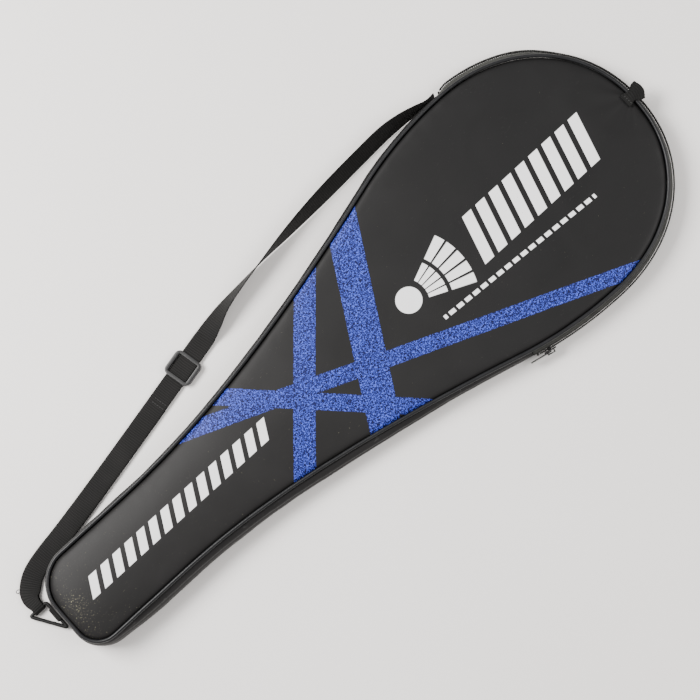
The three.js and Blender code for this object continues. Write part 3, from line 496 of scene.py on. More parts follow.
def make_printed(name):
    g = Graph(name)
    grain, patches, scuffs = vinyl_grain(g)
    wobble = (g.noise(3.0, 1) - 0.5) * 0.5
    edge = 0.35
    product_edge = 7.0  # the same for a product of two distances, in square millimetres

    def side(first, second):
        """Signed distance in millimetres from the line through two points."""
        dx, dy = second[0] - first[0], second[1] - first[1]
        size = hypot(dx, dy)
        nx, ny = -dy / size, dx / size
        return g.x * nx + g.y * ny - (nx * first[0] + ny * first[1]) + wobble

    band = None
    for one, other in BANDS:
        # Between the two edges their distances have opposite signs.
        between = (side(*one) * side(*other) * -1).above(0, product_edge)
        band = between if band is None else band.either(between)

    # Blue print: a light ground under a net of short dark worms, denser in places.
    worms = g.noise(1.2, 0.3, 1.3)
    mottle = g.noise(26, 2)
    level = mottle * 0.06 + 0.524
    dark_worm = g.remap(worms - level, 0.035, -0.035)
    light_spot = g.noise(1.2, 1).above(0.60, 0.08)
    blue = g.mix(dark_worm, (0.050, 0.085, 0.56), (0.004, 0.005, 0.045))
    blue = g.mix(light_spot * (1.0 - dark_worm) * 0.5, blue, (0.120, 0.170, 0.68))

    # White print: generic marks only, a plain disc and fan, slanted bars and dashes.
    def bars(x0, x1, y0, y1, pitch, width, slant):
        across = g.x - g.y * slant
        inside = across.above(x0, edge) * across.below(x1, edge) * g.y.above(y0, edge) * g.y.below(y1, edge)
        phase = (across - x0).math("MODULO", pitch)
        return inside * phase.below(width, edge)

    cork_x, cork_r = 75.0, 12.5
    fan_x = g.x - (cork_x - 8)
    fan_r = g.distance(fan_x, g.y)
    fan_angle = g.math("ARCTAN2", g.y, fan_x)
    feather = 0.175
    blades = (fan_angle + feather * 2.5).math("MODULO", feather).below(feather * 0.80, 0.008)
    fan = fan_r.above(26, edge) * fan_r.below(72, edge) * blades
    fan = fan * fan_angle.math("ABSOLUTE").below(feather * 2.45, 0.01)
    fan = fan * (1.0 - fan_r.above(44, edge) * fan_r.below(48, edge))
    emblem = fan.either(g.distance(g.x - cork_x, g.y).below(cork_r, edge))
    word = bars(156, 303, -23.5, 23.5, 16.5, 11.0, 0.30)
    handle = bars(-318, -101, -8.5, 10.5, 14.8, 9.2, 0.55)
    line_y = g.y + g.x * 0.06
    dashes = line_y.above(-31.2, edge) * line_y.below(-27.2, edge)
    dashes = dashes * g.x.above(88, edge) * g.x.below(266, edge)
    dashes = dashes * g.x.math("MODULO", 9.4).below(6.6, edge)
    ink = emblem.either(word).either(handle).either(dashes)
    worn = g.noise(0.9, 3).above(0.70, 0.04) * g.noise(24, 1).above(0.45, 0.1)
    ink = ink * (1.0 - worn * 0.8)
    ink_tone = g.mix(g.noise(30, 2), (0.80, 0.80, 0.81), (0.92, 0.92, 0.93))

    # Dust: pale specks, thickest at the handle end, with a yellowish patch there.
    reach = g.x.below(-310, 40) * 0.055 + g.x.below(-40, 120) * 0.02
    patch = ((g.x + 338) * (g.x + 338) + (g.y + 2) * (g.y + 2) * 0.5).math("SQRT")
    reach = reach + patch.below(8, 11) * 0.085
    dust = g.noise(1.1, 4, 0.4) - 0.76
    dust = (dust + reach).above(0.0, 0.02)

    colour = g.mix(patches, VINYL_DARK, VINYL_LIGHT)
    colour = g.mix(g.remap(g.x, -200, 260) * 0.55, colour, PAINTED_HEAD_SHADE)  # painted shade: darker towards the head tip
    colour = g.mix(scuffs * 0.05, colour, (0.14, 0.14, 0.135))
    colour = g.mix(band, colour, blue)
    colour = g.mix(ink, colour, ink_tone)
    colour = g.mix(dust * 0.55, colour, (0.34, 0.32, 0.22))
    roughness = patches * 0.10 + 0.44 + ink * 0.08 + dust * 0.2
    height_map = grain + band * 0.5 + ink * 0.9
    return g.finish(colour, roughness, height_map, 0.05, Specular_IOR_Level=0.17)


printed = make_printed("printed_vinyl")
vinyl = make_vinyl("vinyl")
welt = make_welt("welt")
lining = make_lining("lining")
webbing = make_webbing("webbing")
tab_webbing = make_webbing("tab_webbing", 0.5)
tape = make_tape("zip_tape")
plastic = make_plain("plastic", (0.006, 0.006, 0.0065), (0.013, 0.013, 0.014), 0.34, 0.5, 0.02)
nylon = make_plain("zip_coil", (0.007, 0.007, 0.007), (0.020, 0.020, 0.019), 0.5, 0.3, 0.02,
                   Specular_IOR_Level=0.3)
metal = make_plain("zip_metal", (0.018, 0.018, 0.019), (0.045, 0.044, 0.043), 0.36, 0.7, 0.02, Metallic=0.85)
coated = make_plain("ring_wire", (0.0015, 0.0015, 0.0016), (0.0045, 0.0045, 0.0046), 0.52, 0.5, 0.03,
                    Specular_IOR_Level=0.25)
thread = make_plain("thread", (0.03, 0.03, 0.03), (0.06, 0.06, 0.06), 0.7, 0.3, 0.05)
pale_thread = make_plain("pale_thread", (0.26, 0.26, 0.24), (0.40, 0.40, 0.37), 0.7, 0.3, 0.05)
lacquer = make_plain("frame_paint", (0.010, 0.020, 0.085), (0.016, 0.035, 0.130), 0.22, 1.5, 0.01,
                     Coat_Weight=0.8, Coat_Roughness=0.08)
timber = make_timber("timber")
grip = make_grip("grip")
string = make_string("string")


# ---- the cover's outline --------------------------------------------------------------------
def corner_half(dx, radius):
    return HANDLE_HALF - radius + (radius if dx >= radius else sqrt(radius**2 - (radius - dx) ** 2))


def make_stations():
    """Stations along the cover: x, and the half width on the far and on the strap side."""
    made = []
    corner_steps, taper_steps, shoulder_steps, head_steps = 14, 110, 32, 56
    for i in range(corner_steps + 1):
        dx = CORNER_STRAP * (1 - cos(i / corner_steps * pi / 2))
        made.append((-HALF_LENGTH + dx, corner_half(dx, CORNER_FAR), corner_half(dx, CORNER_STRAP)))
    drop = SHOULDER_RADIUS - sqrt(SHOULDER_RADIUS**2 - (WIDEST_X - SHOULDER_X) ** 2)
    shoulder = HEAD_HALF - drop
    slope = (WIDEST_X - SHOULDER_X) / (SHOULDER_RADIUS - drop)
    gap_steps = 22
    gap_start = made[-1][0]
    for i in range(1, gap_steps):
        x = lerp(gap_start, TAPER_X, i / gap_steps)
        made.append((x, HANDLE_HALF, HANDLE_HALF))
    ends = ((TAPER_X, HANDLE_HALF), (TAPER_X + 70, HANDLE_HALF),
            (SHOULDER_X - 190, shoulder - 190 * slope), (SHOULDER_X, shoulder))
    for i in range(taper_steps):
        t = i / taper_steps
        weights = ((1 - t) ** 3, 3 * t * (1 - t) ** 2, 3 * t * t * (1 - t), t**3)
        x, y = (sum(w * e[k] for w, e in zip(weights, ends)) for k in range(2))
        made.append((x, y, y))
    for i in range(shoulder_steps):
        x = lerp(SHOULDER_X, WIDEST_X, i / shoulder_steps)
        y = HEAD_HALF - SHOULDER_RADIUS + sqrt(SHOULDER_RADIUS**2 - (WIDEST_X - x) ** 2)
        made.append((x, y, y))
    for i in range(head_steps + 1):
        angle = radians(90 - 86 * i / head_steps)
        x = WIDEST_X + (HALF_LENGTH - WIDEST_X) * cos(angle) ** (2 / HEAD_EXPONENT)
        y = HEAD_HALF * sin(angle) ** (2 / HEAD_EXPONENT)
        made.append((x, y, y))
    return made


STATIONS = make_stations()
RING = [Vector((x, -far)) for x, far, _ in STATIONS]
RING += [Vector((x, near)) for x, _, near in reversed(STATIONS)]
REACH = [0.0]
for a, b in zip(RING, RING[1:] + RING[:1]):
    REACH.append(REACH[-1] + (b - a).length)
PERIMETER = REACH[-1]


def plain_at(s):
    """The outline's point at distance s from the handle end's far corner, anticlockwise."""
    s %= PERIMETER
    low, high = 0, len(RING)
    while high - low > 1:
        middle = (low + high) // 2
        if REACH[middle] <= s:
            low = middle
        else:
            high = middle
    t = (s - REACH[low]) / max(1e-9, REACH[low + 1] - REACH[low])
    return RING[low].lerp(RING[(low + 1) % len(RING)], t)


def ring_at(s):
    """The outline's point at s and its outward normal."""
    span = 4.0
    along = (plain_at(s + span) - plain_at(s - span)).normalized()
    return plain_at(s), Vector((along.y, -along.x))


def reach_at(x, side):
    """The distance round the outline to the point at x on one side."""
    best = min(
        (abs(p.x - x), REACH[i]) for i, p in enumerate(RING) if (p.y > 0) == (side > 0) and abs(p.y) > 30
    )[1]
    for _ in range(6):
        p = plain_at(best)
        best += (x - p.x) * (1 if side < 0 else -1)
    return best


ZIP_FROM = reach_at(ZIP_END_X, -1)
ZIP_TO = reach_at(ZIP_START_X, 1)


def run(start, end, step):
    """Outline places from one distance to another: each its distance, point and normal."""
    count = max(2, round((end - start) / step))
    return [(lerp(start, end, i / count), *ring_at(lerp(start, end, i / count))) for i in range(count + 1)]


def off_wall(place, offset, z):
    _, p, n = place
    return Vector((p.x + n.x * offset, p.y + n.y * offset, z))


def wall_offset(z, top, bulge):
    q = z / top
    return BACK_FLARE * (1 - q) + bulge * 4 * q * (1 - q)


EDGE_STEP = 2.0
EDGE_COUNT = int(PERIMETER / EDGE_STEP) + 1
edge_tree = kdtree.KDTree(EDGE_COUNT)
for i in range(EDGE_COUNT):
    p = plain_at(i * EDGE_STEP)
    edge_tree.insert((p.x, p.y, 0), i)
edge_tree.balance()

# The fold that the zipped head flap opens on, between the zip's two ends.
FOLD_A, FOLD_B = plain_at(ZIP_FROM), plain_at(ZIP_TO)
FOLD_ALONG = (FOLD_B - FOLD_A).normalized()
FOLD_OUT = Vector((FOLD_ALONG.y, -FOLD_ALONG.x))
FOLD_WIDTH = 40.0


def blend_flap(obj, slot, *nodes):
    """Hides the CAD nodes that a piece lying across the fold stands in for and bakes its placement into its
    mesh; slot is not used.
    """
    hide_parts(*nodes)
    middle = (FOLD_A + FOLD_B) / 2
    end = middle + FOLD_OUT * FOLD_WIDTH
    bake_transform(obj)


# ---- panels ---------------------------------------------------------------------------------
COLUMNS = 66


def station_span(i, inset):
    """The two ends of the line across the cover at station i, inset from the outline."""
    return [p - n * inset for p, n in (ring_at(REACH[i]), ring_at(REACH[len(RING) - 1 - i]))]


def across(inset, columns, surface, rows=None):
    """A grid over the cover's plan; surface gives the height at x, y, t and the edge distance."""
    grid = []
    for i in rows or range(len(STATIONS)):
        a, b = station_span(i, inset)
        row = []
        for j in range(columns + 1):
            u = j / columns
            t = u - 0.11 * sin(2 * pi * u)
            p = a.lerp(b, t)
            _, _, distance = edge_tree.find((p.x, p.y, 0))
            row.append(Vector((p.x, p.y, surface(p.x, p.y, t, distance))))
        grid.append(row)
    return grid


def swell(x, t):
    fade = max(0.0, min(1.0, (HALF_LENGTH - abs(x)) / CORNER_STRAP))
    return crown(x) * (1 - (2 * t - 1) ** 2) * sqrt(fade * (2 - fade))


TAB_DIMPLE = (338.0, 2.0)  # where the sewn tab pulls the panel in


def front_height(x, y, t, distance):
    """The padded panel: pulled down into its seam, swelling between, with slow undulation."""
    edge = max(0.0, distance - 2.1)
    tuck = 2.3 * exp(-edge / 1.6) + 0.7 * exp(-edge / 7.0)
    pucker = 0.35 * ripple(x, y, 11, 3.0) * exp(-edge / 9.0)
    slow = 0.55 * ripple(x, y, 85, 1.0) + 0.22 * ripple(x, y, 32, 7.0)
    slow *= smoothstep(edge, 3, 30)
    dimple = hypot((x - TAB_DIMPLE[0]) / 22, (y - TAB_DIMPLE[1]) / 30)
    pull = -1.1 * exp(-dimple**2) + 0.6 * exp(-((dimple - 1.5) ** 2) * 3)
    pull += 0.35 * sin(atan2(y, x - 352) * 9) * exp(-dimple**2 * 0.8)
    return height(x) + 1.2 + swell(x, t) - tuck + pucker + slow + pull


PANEL_INSET = 2.0
front = across(PANEL_INSET, COLUMNS, front_height)
front_panel = slab("cover_front_panel", front, lowered(front, PANEL), printed, plan(front))
blend_flap(front_panel, "vinyl", "front_panel", "flap_panel")

LINING_INSET, LINING_T = 3.8, 0.8
HEAD_DROP = 1.1  # extra room under the head's panel, so that the two fold without touching
lining_top = across(LINING_INSET, COLUMNS,
                    lambda x, y, t, d: height(x) + 1 + swell(x, t) - 3.3 - HEAD_DROP * smoothstep(x, 40, 100))
front_lining = slab("cover_front_lining", lining_top, lowered(lining_top, LINING_T), lining, plan(lining_top))
blend_flap(front_lining, "lining", "front_lining", "flap_lining")


def back_low(x, y, t, distance):
    edge = max(0.0, distance - 0.6)
    return 0.9 * exp(-edge / 2.5) + 0.12 * (1 + ripple(x, y, 40, 5.0)) * smoothstep(edge, 2, 20)


BACK_INSET = 0.6
back_under = across(BACK_INSET, 40, back_low)
back_top = lowered(back_under, 0.2 - PANEL)
back_panel = slab("cover_back_panel", back_top, back_under, vinyl, plan(back_top))
dress(back_panel, "vinyl", "cover", "back_panel")

some_stations = [*range(0, len(STATIONS), 3), len(STATIONS) - 1]  # enough for a flat lining
inner_top = across(LINING_INSET, 30, lambda x, y, t, d: PANEL + 1.1, some_stations)
back_lining = slab("cover_back_lining", inner_top, lowered(inner_top, LINING_T), lining, plan(inner_top))
dress(back_lining, "lining", "cover", "back_lining")


# ---- piping ---------------------------------------------------------------------------------
def piping(name, offset, level):
    """A welt all round the outline, with the slight unevenness of a hand-sewn seam."""
    sections = []
    places = run(0, PERIMETER, 3.0)[:-1]
    for place in places:
        s, p, _ = place
        sway = 0.16 * noise.noise(Vector((s / 26, 0, 2.0)))
        r = PIPING_R * (1 + 0.04 * noise.noise(Vector((s / 7, 1, 0))))
        ring = []
        for a in turns(12):
            ring.append(off_wall(place, offset + sway + r * cos(a), level(p.x) + r * sin(a)))
        sections.append(ring)
    along = [place[0] for place in places]
    return sweep(name, sections, welt, True, along, [PIPING_R * a for a in turns(12)])


front_welt = piping("front_welt", 0, height)
blend_flap(front_welt, "welt", "front_piping", "flap_piping")
back_welt = piping("back_welt", BACK_FLARE, lambda x: PIPING_R + 0.1)
dress(back_welt, "welt", "cover", "back_piping")


# ---- gusset and zip -------------------------------------------------------------------------
def wall(name, places, low, high, bulge, thickness, rows, relief, material):
    """A strip of the side wall between two heights; relief adds to how far it stands out."""
    face, back = [], []
    for place in places:
        s, p, _ = place
        top = height(p.x)
        outer, inner = [], []
        for j in range(rows + 1):
            z = lerp(low, high(p.x), j / rows)
            out = wall_offset(z, top, bulge(p)) + relief(s, z, top)
            outer.append(off_wall(place, out, z))
            inner.append(off_wall(place, wall_offset(z, top, bulge(p)) - thickness, z))
        face.append(outer)
        back.append(inner)
    return slab(name, face, back, material, lambda i, j: (places[i][0], face[i][j].z))


WALL_FOOT = 2 * PIPING_R + 0.1 + GAP


def wall_top(x):
    return height(x) - PIPING_R - GAP


def gusset_bulge(p):
    near = min((p - FOLD_A).length, (p - FOLD_B).length)
    return lerp(ZIP_BULGE, BULGE, min(1.0, near / 60))


SAG = 4.4  # how far the empty side of the handle part slumps outwards


def gusset_relief(s, z, top):
    """A stitched hem under the piping, soft folds, and the slump on the far side of the handle."""
    hem = 0.9 * exp(-(((top - 4.6 - z) / 1.3) ** 2))
    hem -= 0.5 * exp(-(((top - 7.2 - z) / 0.9) ** 2))
    q = (z - WALL_FOOT) / (top - WALL_FOOT)
    fold = 0.55 * noise.noise(Vector((s / 38, z / 30, 4.0)))
    fold += 0.3 * noise.noise(Vector((s / 13, z / 16, 9.0)))
    p = plain_at(s)
    sag = SAG * smoothstep(-p.y, 15, 44) * smoothstep(p.x, -350, -280) * (1 - smoothstep(p.x, -80, 95))
    return hem + (fold + sag) * max(0.0, 4 * q * (1 - q)) ** 0.8


gusset = wall("cover_gusset", run(ZIP_TO + GAP, ZIP_FROM + PERIMETER - GAP, 3.0), WALL_FOOT, wall_top,
              gusset_bulge, 1.4, 20, gusset_relief, vinyl)
dress(gusset, "vinyl", "cover", "gusset")

zip_places = run(ZIP_FROM + GAP, ZIP_TO - GAP, 2.5)
TAPE_SPLIT = 0.7
TAPE_SPREAD = 3.0  # how much further the zip is pushed out on the strap side, near its start


def tape_bulge(p):
    near_start = smoothstep(p.x, ZIP_START_X - 1, ZIP_START_X + 15)
    return ZIP_BULGE + TAPE_SPREAD * smoothstep(p.y, 70, 105) * near_start


def front_tape_relief(s, z, top):
    return 0.5 * exp(-(((top - 4.2 - z) / 1.1) ** 2)) + 0.12 * noise.noise(Vector((s / 9, z / 9, 1.0)))


def back_tape_relief(s, z, top):
    return 0.12 * noise.noise(Vector((s / 9, z / 9, 6.0)))


front_tape = wall("zip_tape_upper", zip_places, ZIP_Z + TAPE_SPLIT, wall_top, tape_bulge, 0.8, 7,
                  front_tape_relief, tape)
blend_flap(front_tape, "zip_tape", "zip_tape_front")
back_tape = wall("zip_tape_lower", zip_places, WALL_FOOT, lambda x: ZIP_Z - TAPE_SPLIT, tape_bulge, 0.8, 6,
                 back_tape_relief, tape)
dress(back_tape, "zip_tape", "cover", "zip_tape_back")

COIL_R, COIL_SPREAD = 1.0, 1.6
TOOTH = 1.9  # pitch of the coil's turns


def coil(name, side):
    """A nylon coil: one turn after another, each leaning over the meeting line."""
    sections = []
    places = run(ZIP_FROM + 6, ZIP_TO - 6, TOOTH / 4)
    for i, place in enumerate(places):
        out = wall_offset(ZIP_Z, HEIGHT_HEAD, tape_bulge(place[1])) + COIL_R + GAP
        phase = cos(2 * pi * (i % 4) / 4)
        r = COIL_R * (0.72 + 0.28 * phase)
        z = ZIP_Z + side * (COIL_SPREAD - 0.42 * phase)
        angles = [a + pi / 6 for a in turns(6)]
        sections.append([off_wall(place, out + r * cos(a), z + r * sin(a)) for a in angles])
    return sweep(name, sections, nylon, along=[place[0] for place in places])


blend_flap(coil("zip_coil_upper", 1), "zip_coil", "zip_coil_front")
dress(coil("zip_coil_lower", -1), "zip_coil", "cover", "zip_coil_back")


def stitches(name, path, length, space, radius, material, body, slot):
    """A row of thread stitches along a path of points, each a small rounded bead of thread."""
    made_points, made_faces = [], []
    distance = [0.0]
    for a, b in zip(path, path[1:]):
        distance.append(distance[-1] + (b - a).length)
    count = int(distance[-1] // (length + space))
    for c in range(count):
        at = (c + 0.5) * (length + space)
        k = max(i for i in range(len(path) - 1) if distance[i] <= at)
        t = (at - distance[k]) / (distance[k + 1] - distance[k])
        middle = path[k].lerp(path[k + 1], t)
        forward = (path[k + 1] - path[k]).normalized()
        side = forward.orthogonal().normalized()
        up = side.cross(forward)
        start = len(made_points)
        rings = ((-0.5, 0.35), (-0.3, 0.9), (0.3, 0.9), (0.5, 0.35))
        for reach, fat in rings:
            for a in turns(6):
                made_points.append(middle + forward * (length * reach)
                                   + (side * cos(a) + up * sin(a)) * (radius * fat))
        made_faces += grid_faces(len(rings), 6, start, wrap_columns=True)
        made_faces.append(tuple(range(start, start + 6)))
        made_faces.append(tuple(range(start + 18, start + 24)))
    dress(piece(name, made_points, made_faces, material), slot, body)


# The seam under the piping round the gusset.
seam_path = []
for place in run(ZIP_TO + 3, ZIP_FROM + PERIMETER - 3, 4.0):
    s, p, _ = place
    z = height(p.x) - 7.0
    seam_path.append(off_wall(place, wall_offset(z, height(p.x), gusset_bulge(p))
                              + gusset_relief(s, z, height(p.x)) + 0.12, z))
stitches("gusset_seam_thread", seam_path, 2.4, 0.9, 0.26, thread, "cover", "vinyl")

# Bar tack across the zip's closed start.
tack = []
for k in range(3):
    z = lerp(WALL_FOOT + 2, HEIGHT_HEAD - 4, k / 6)
    place = (ZIP_TO - 2.5, *ring_at(ZIP_TO - 2.5 - 0.5 * (k % 2)))
    tack.append(off_wall(place, wall_offset(z, HEIGHT_HEAD, ZIP_BULGE) + 0.35, z))
stitches("zip_bar_tack_lower", tack, 1.1, 0.25, 0.24, pale_thread, "cover", "zip_tape")

rounded_copy("zip_slider", "zip_slider_body", metal, 0.35, "zip_metal", "zip_slider")
rounded_copy("zip_pull", "zip_pull_tab", metal, 0.3, "zip_metal", "zip_pull")
for node, body in (("zip_bottom_stop", "cover"), ("zip_top_stop_back", "cover"),
                   ("zip_top_stop_front", "head_flap")):
    rounded_copy(node, node + "_crimp", metal, 0.4, "zip_metal", body)


# ---- shoulder strap -------------------------------------------------------------------------
WEBBING, WEB_T = 20.0, 1.3
SEAM_XS = (223, 213)  # where the strap is sewn flat to the cover's side
STRAP_ROUTE = [  # x, y and roll in degrees
    (200, 130.5, 78), (184, 133, 66), (164, 134.5, 58), (134, 133.5, 56),
    (88, 131, 58), (42, 127.5, 74), (-4, 123, 100), (-50, 117, 126), (-72, 111.8, 152), (-86, 108.3, 172),
]
LOWER_ROUTE = [
    (-96, 106), (-150, 94.5), (-164, 91.5), (-200, 83.8), (-240, 75.4), (-280, 67.3), (-314, 61),
    (-338, 57), (-356, 52), (-368, 43.5), (-373, 36), (-373, 28),
]
TOP_LAYER_Z, BOTTOM_LAYER_Z = 3.0, 1.1
BAR_Y, BAR_Z, BAR_R = 24.0, 3.5, 1.5
TURN_R = BAR_R + 0.55 + WEB_T / 2
PINCH = 12.0


def anchor_y(x):
    p, _ = ring_at(reach_at(x, 1))
    return p.y + wall_offset(HEIGHT_HEAD / 2, HEIGHT_HEAD, BULGE) + WEB_T / 2 + 0.5


top_run = []
for x, y, roll in [(x, anchor_y(x), 90) for x in SEAM_XS] + STRAP_ROUTE:
    z = 0.4 + WEBBING / 2 * sin(radians(roll)) + WEB_T / 2
    top_run.append((x, y, max(z, TOP_LAYER_Z), roll, WEBBING))
lower_run = []
for i, (x, y) in enumerate(LOWER_ROUTE):
    near = max(0, i - (len(LOWER_ROUTE) - 3)) / 2
    lower_run.append((x, y, lerp(TOP_LAYER_Z, BAR_Z + TURN_R, near), 180, lerp(WEBBING, PINCH, near)))
turn_run = []
for i in range(1, 10):
    a = pi / 2 - i / 10 * pi
    turn_run.append((LOWER_ROUTE[-1][0], BAR_Y - TURN_R * cos(a), BAR_Z + TURN_R * sin(a), 180, PINCH))
returning = [p for p in lower_run if p[0] < -155]
return_run = [(x, y, BOTTOM_LAYER_Z, roll, width) for x, y, z, roll, width in reversed(returning)]


def webbing_sections(rows):
    """Rounded flat sections along rows of x, y, z, roll and width.

    Where the strap runs upright its own side is carried on from the section before.
    """
    places = [Vector(row[:3]) for row in rows]
    sections, side = [], None
    for i, row in enumerate(rows):
        forward = heading(places, i)
        flat = Vector((forward.y, -forward.x, 0))
        level = flat.normalized() if flat.length > 0.4 else side - forward * side.dot(forward)
        if side and level.dot(side) < 0:
            level.negate()
        level.normalize()
        side = level.copy()
        up = level.cross(forward)
        roll = radians(row[3])
        wide = level * cos(roll) + up * sin(roll)
        thin = wide.cross(forward)
        sections.append(flat_ring(places[i], wide, thin, row[4] / 2, WEB_T / 2))
    return sections


strap_rows = spline(top_run + lower_run, 2.5) + [list(row) for row in turn_run] + spline(return_run, 2.5)
strap = sweep("shoulder_strap_webbing", webbing_sections(strap_rows), webbing,
              around=[WEBBING / 2 * squared(cos(a), 0.45) for a in turns(20)])
dress(strap, "webbing", "cover", "shoulder_strap")


# Two rows of thread across the strap, through the layer below.
SEWN_X, SEWN_SPACE, SEWN_HALF, SEWN_SLOPE = -160.0, 4.5, 8.2, 0.2143
SEWN_ACROSS = Vector((-0.2083, 1, 0)).normalized()
for number in range(2):
    x = SEWN_X - SEWN_SPACE * number
    near_x, near_y = LOWER_ROUTE[1]
    middle = Vector((x, near_y + (x - near_x) * SEWN_SLOPE, TOP_LAYER_Z + WEB_T / 2 + 0.02))
    row = [middle + SEWN_ACROSS * lerp(-SEWN_HALF, SEWN_HALF, k / 8) for k in range(9)]
    stitches(f"strap_end_thread_{number + 1}", row, 2.0, 0.8, 0.24, thread, "cover", "webbing")

rounded_copy("strap_adjuster", "strap_adjuster_frame", plastic, 0.45, "plastic", "adjuster", 3)

# Triangular ring lying flat at the handle end: one side in its tab, one in the strap.
RING_SIDE_X, BAR_X, RING_ROUND = -364.0, -374.0, 2.5
ring_corners = [Vector((RING_SIDE_X, -7, BAR_Z)), Vector((RING_SIDE_X, BAR_Y, BAR_Z)),
                Vector((2 * BAR_X - RING_SIDE_X, BAR_Y, BAR_Z))]


def toward(a, b):
    """The point where the rounded corner at a meets the side to b."""
    return a + (b - a).normalized() * RING_ROUND


ring_path = []
for k in range(3):
    here, following, after = (ring_corners[(k + m) % 3] for m in range(3))
    first, last = toward(here, following), toward(following, here)
    ring_path += [first.lerp(last, t / 6) for t in range(6)]
    leave = toward(following, after)
    for t in (i / 6 for i in range(6)):
        ring_path.append(last * (1 - t) ** 2 + following * (2 * t * (1 - t)) + leave * t * t)
ring = tube("strap_ring_wire", ring_path, BAR_R + 0.25, 14, coated, closed=True)
dress(ring, "plastic", "cover", "strap_ring")

# A thread loop left standing at the strap's edge.
LOOP_AT, LOOP_SIZE = Vector((-377.6, 49.6, 2.6)), Vector((1.9, 1.5, 0.5))
loop_path = [LOOP_AT + Vector(u * v for u, v in zip(LOOP_SIZE, (cos(a), sin(a), sin(a)))) for a in turns(20)]
loop = tube("strap_thread_loop", loop_path, 0.38, 8, thread, closed=True)
dress(loop, "webbing", "cover")


# The ring's tab: webbing from the end of the gusset, folded round the ring's long side.
RING_TAB_Y, RING_TAB_HALF = 9.75, 7.25
TAB_ROOT = -HALF_LENGTH - BULGE - GAP - 0.2
tab_profile = [Vector((TAB_ROOT, RING_TAB_Y, BAR_Z + TURN_R))]
for i in range(13):
    a = pi / 2 + i / 12 * pi
    tab_profile.append(Vector((RING_SIDE_X + TURN_R * cos(a), RING_TAB_Y, BAR_Z + TURN_R * sin(a))))
tab_profile.append(Vector((TAB_ROOT, RING_TAB_Y, BAR_Z - TURN_R)))
tab_sections = []
for i, p in enumerate(tab_profile):
    forward = heading(tab_profile, i)
    normal = Vector((-forward.z, 0, forward.x))
    tab_sections.append(flat_ring(p, Vector((0, 1, 0)), normal, RING_TAB_HALF, WEB_T / 2))
ring_tab = sweep("ring_tab_webbing", tab_sections, webbing,
                 around=[RING_TAB_HALF * cos(a) for a in turns(20)])
dress(ring_tab, "webbing", "cover", "ring_tab")

# The sewn tab at the head tip, drooping over the piping.
TAB_TOP = HEIGHT_HEAD + PIPING_R + GAP + 0.9
TAB_ROUTE = [  # along the cover from its tip, and height from the tab's top
    (-9, HEIGHT_HEAD + 2.6 - TAB_TOP), (-5, 0.3), (0, 0.4), (4, -0.6), (8, -2.0), (12, -3.9),
]
tab_points = [Vector(row) for row in spline([(HALF_LENGTH + x, 0, TAB_TOP + z) for x, z in TAB_ROUTE], 0.9)]
TAB_WIDTH, TAB_FLARE, TAB_PINCH, TAB_T = 17.0, 2.0, 2.9, 1.8
tab_sections = []
for i, p in enumerate(tab_points):
    forward = heading(tab_points, i)
    normal = Vector((-forward.z, 0, forward.x))
    t = i / (len(tab_points) - 1)
    half = (TAB_WIDTH + TAB_FLARE * t) / 2 - 1.6 * (1 - t)
    half -= TAB_PINCH * exp(-(((p.x - HALF_LENGTH) / 4.5) ** 2))
    ring_points = []
    for a in turns(26):
        wide = squared(cos(a), 0.6)
        through = squared(sin(a), 0.6) * TAB_T / 2
        wave = 1.1 * t * cos(wide * pi * 1.1 + 0.6) - 0.6 * t * wide
        slant = 2.2 * t * wide - 2.4 * t * wide**2
        ring_points.append(p + Vector((slant, wide * half, 0)) + normal * (through + wave))
    tab_sections.append(ring_points)
head_tab = sweep("head_tab_webbing", tab_sections, tab_webbing,
                 around=[TAB_WIDTH / 2 * cos(a) for a in turns(26)])
dress(head_tab, "webbing", "head_flap", "head_tab")
tab_seam = [Vector((HALF_LENGTH - 6, lerp(-6, 6, k / 8), TAB_TOP + 1.25)) for k in range(9)]
stitches("head_tab_thread", tab_seam, 1.6, 1.1, 0.3, thread, "head_flap", "webbing")


# ---- the racket inside ----------------------------------------------------------------------
BUTT_X, GRIP_Z, HEAD_Z = -343.0, 18.8, 11.5
HOOP_LONG, HOOP_WIDE, HEAD_CENTRE = 125.0, 98.0, 550.0
TIP = atan2(GRIP_Z - HEAD_Z, HEAD_CENTRE)
HANDLE_R, GRIP_T, SHAFT_R = 11.6, 1.7, 3.6
CAP_LENGTH, HANDLE_LENGTH = 14.0, 172.0


def from_racket(x, y, z):
    """A point of the racket's own frame (x along its axis from the butt) in the cover's frame."""
    c, s = cos(TIP), sin(TIP)
    return Vector((BUTT_X + x * c + z * s, y, GRIP_Z - x * s + z * c))


def on_oval(angle, inset, z):
    """A point round the head's oval, inset from its outside."""
    return from_racket(HEAD_CENTRE + (HOOP_LONG - inset) * cos(angle), (HOOP_WIDE - inset) * sin(angle), z)


def octagon(angle, r):
    """Distance from the axis to a slightly rounded octagon with corner radius r."""
    sector = pi / 4
    a = angle % sector - sector / 2
    flat = r * cos(sector / 2) / cos(a)
    return lerp(flat, r * 0.97, 0.25)


def turned(name, node, profile, sides, material, slot, shape=None, steps=1.0):
    """A body turned about the racket's axis from (x, radius) pairs; shape bends each radius."""
    sections, along = [], []
    for (x0, r0), (x1, r1) in zip(profile, profile[1:]):
        count = max(1, round(hypot(x1 - x0, r1 - r0) / steps))
        for s in range(count):
            sections.append((lerp(x0, x1, s / count), lerp(r0, r1, s / count)))
    sections.append(profile[-1])
    rings = []
    for x, r in sections:
        ring_points = []
        for a in turns(sides):
            size = shape(a, x, r) if shape else r
            ring_points.append(from_racket(x, size * cos(a), size * sin(a)))
        rings.append(ring_points)
        along.append(x)
    around = [8 * a for a in turns(sides)]
    obj = sweep(name, rings, material, along=along, around=around)
    dress(obj, slot, "cover", node)
    return obj


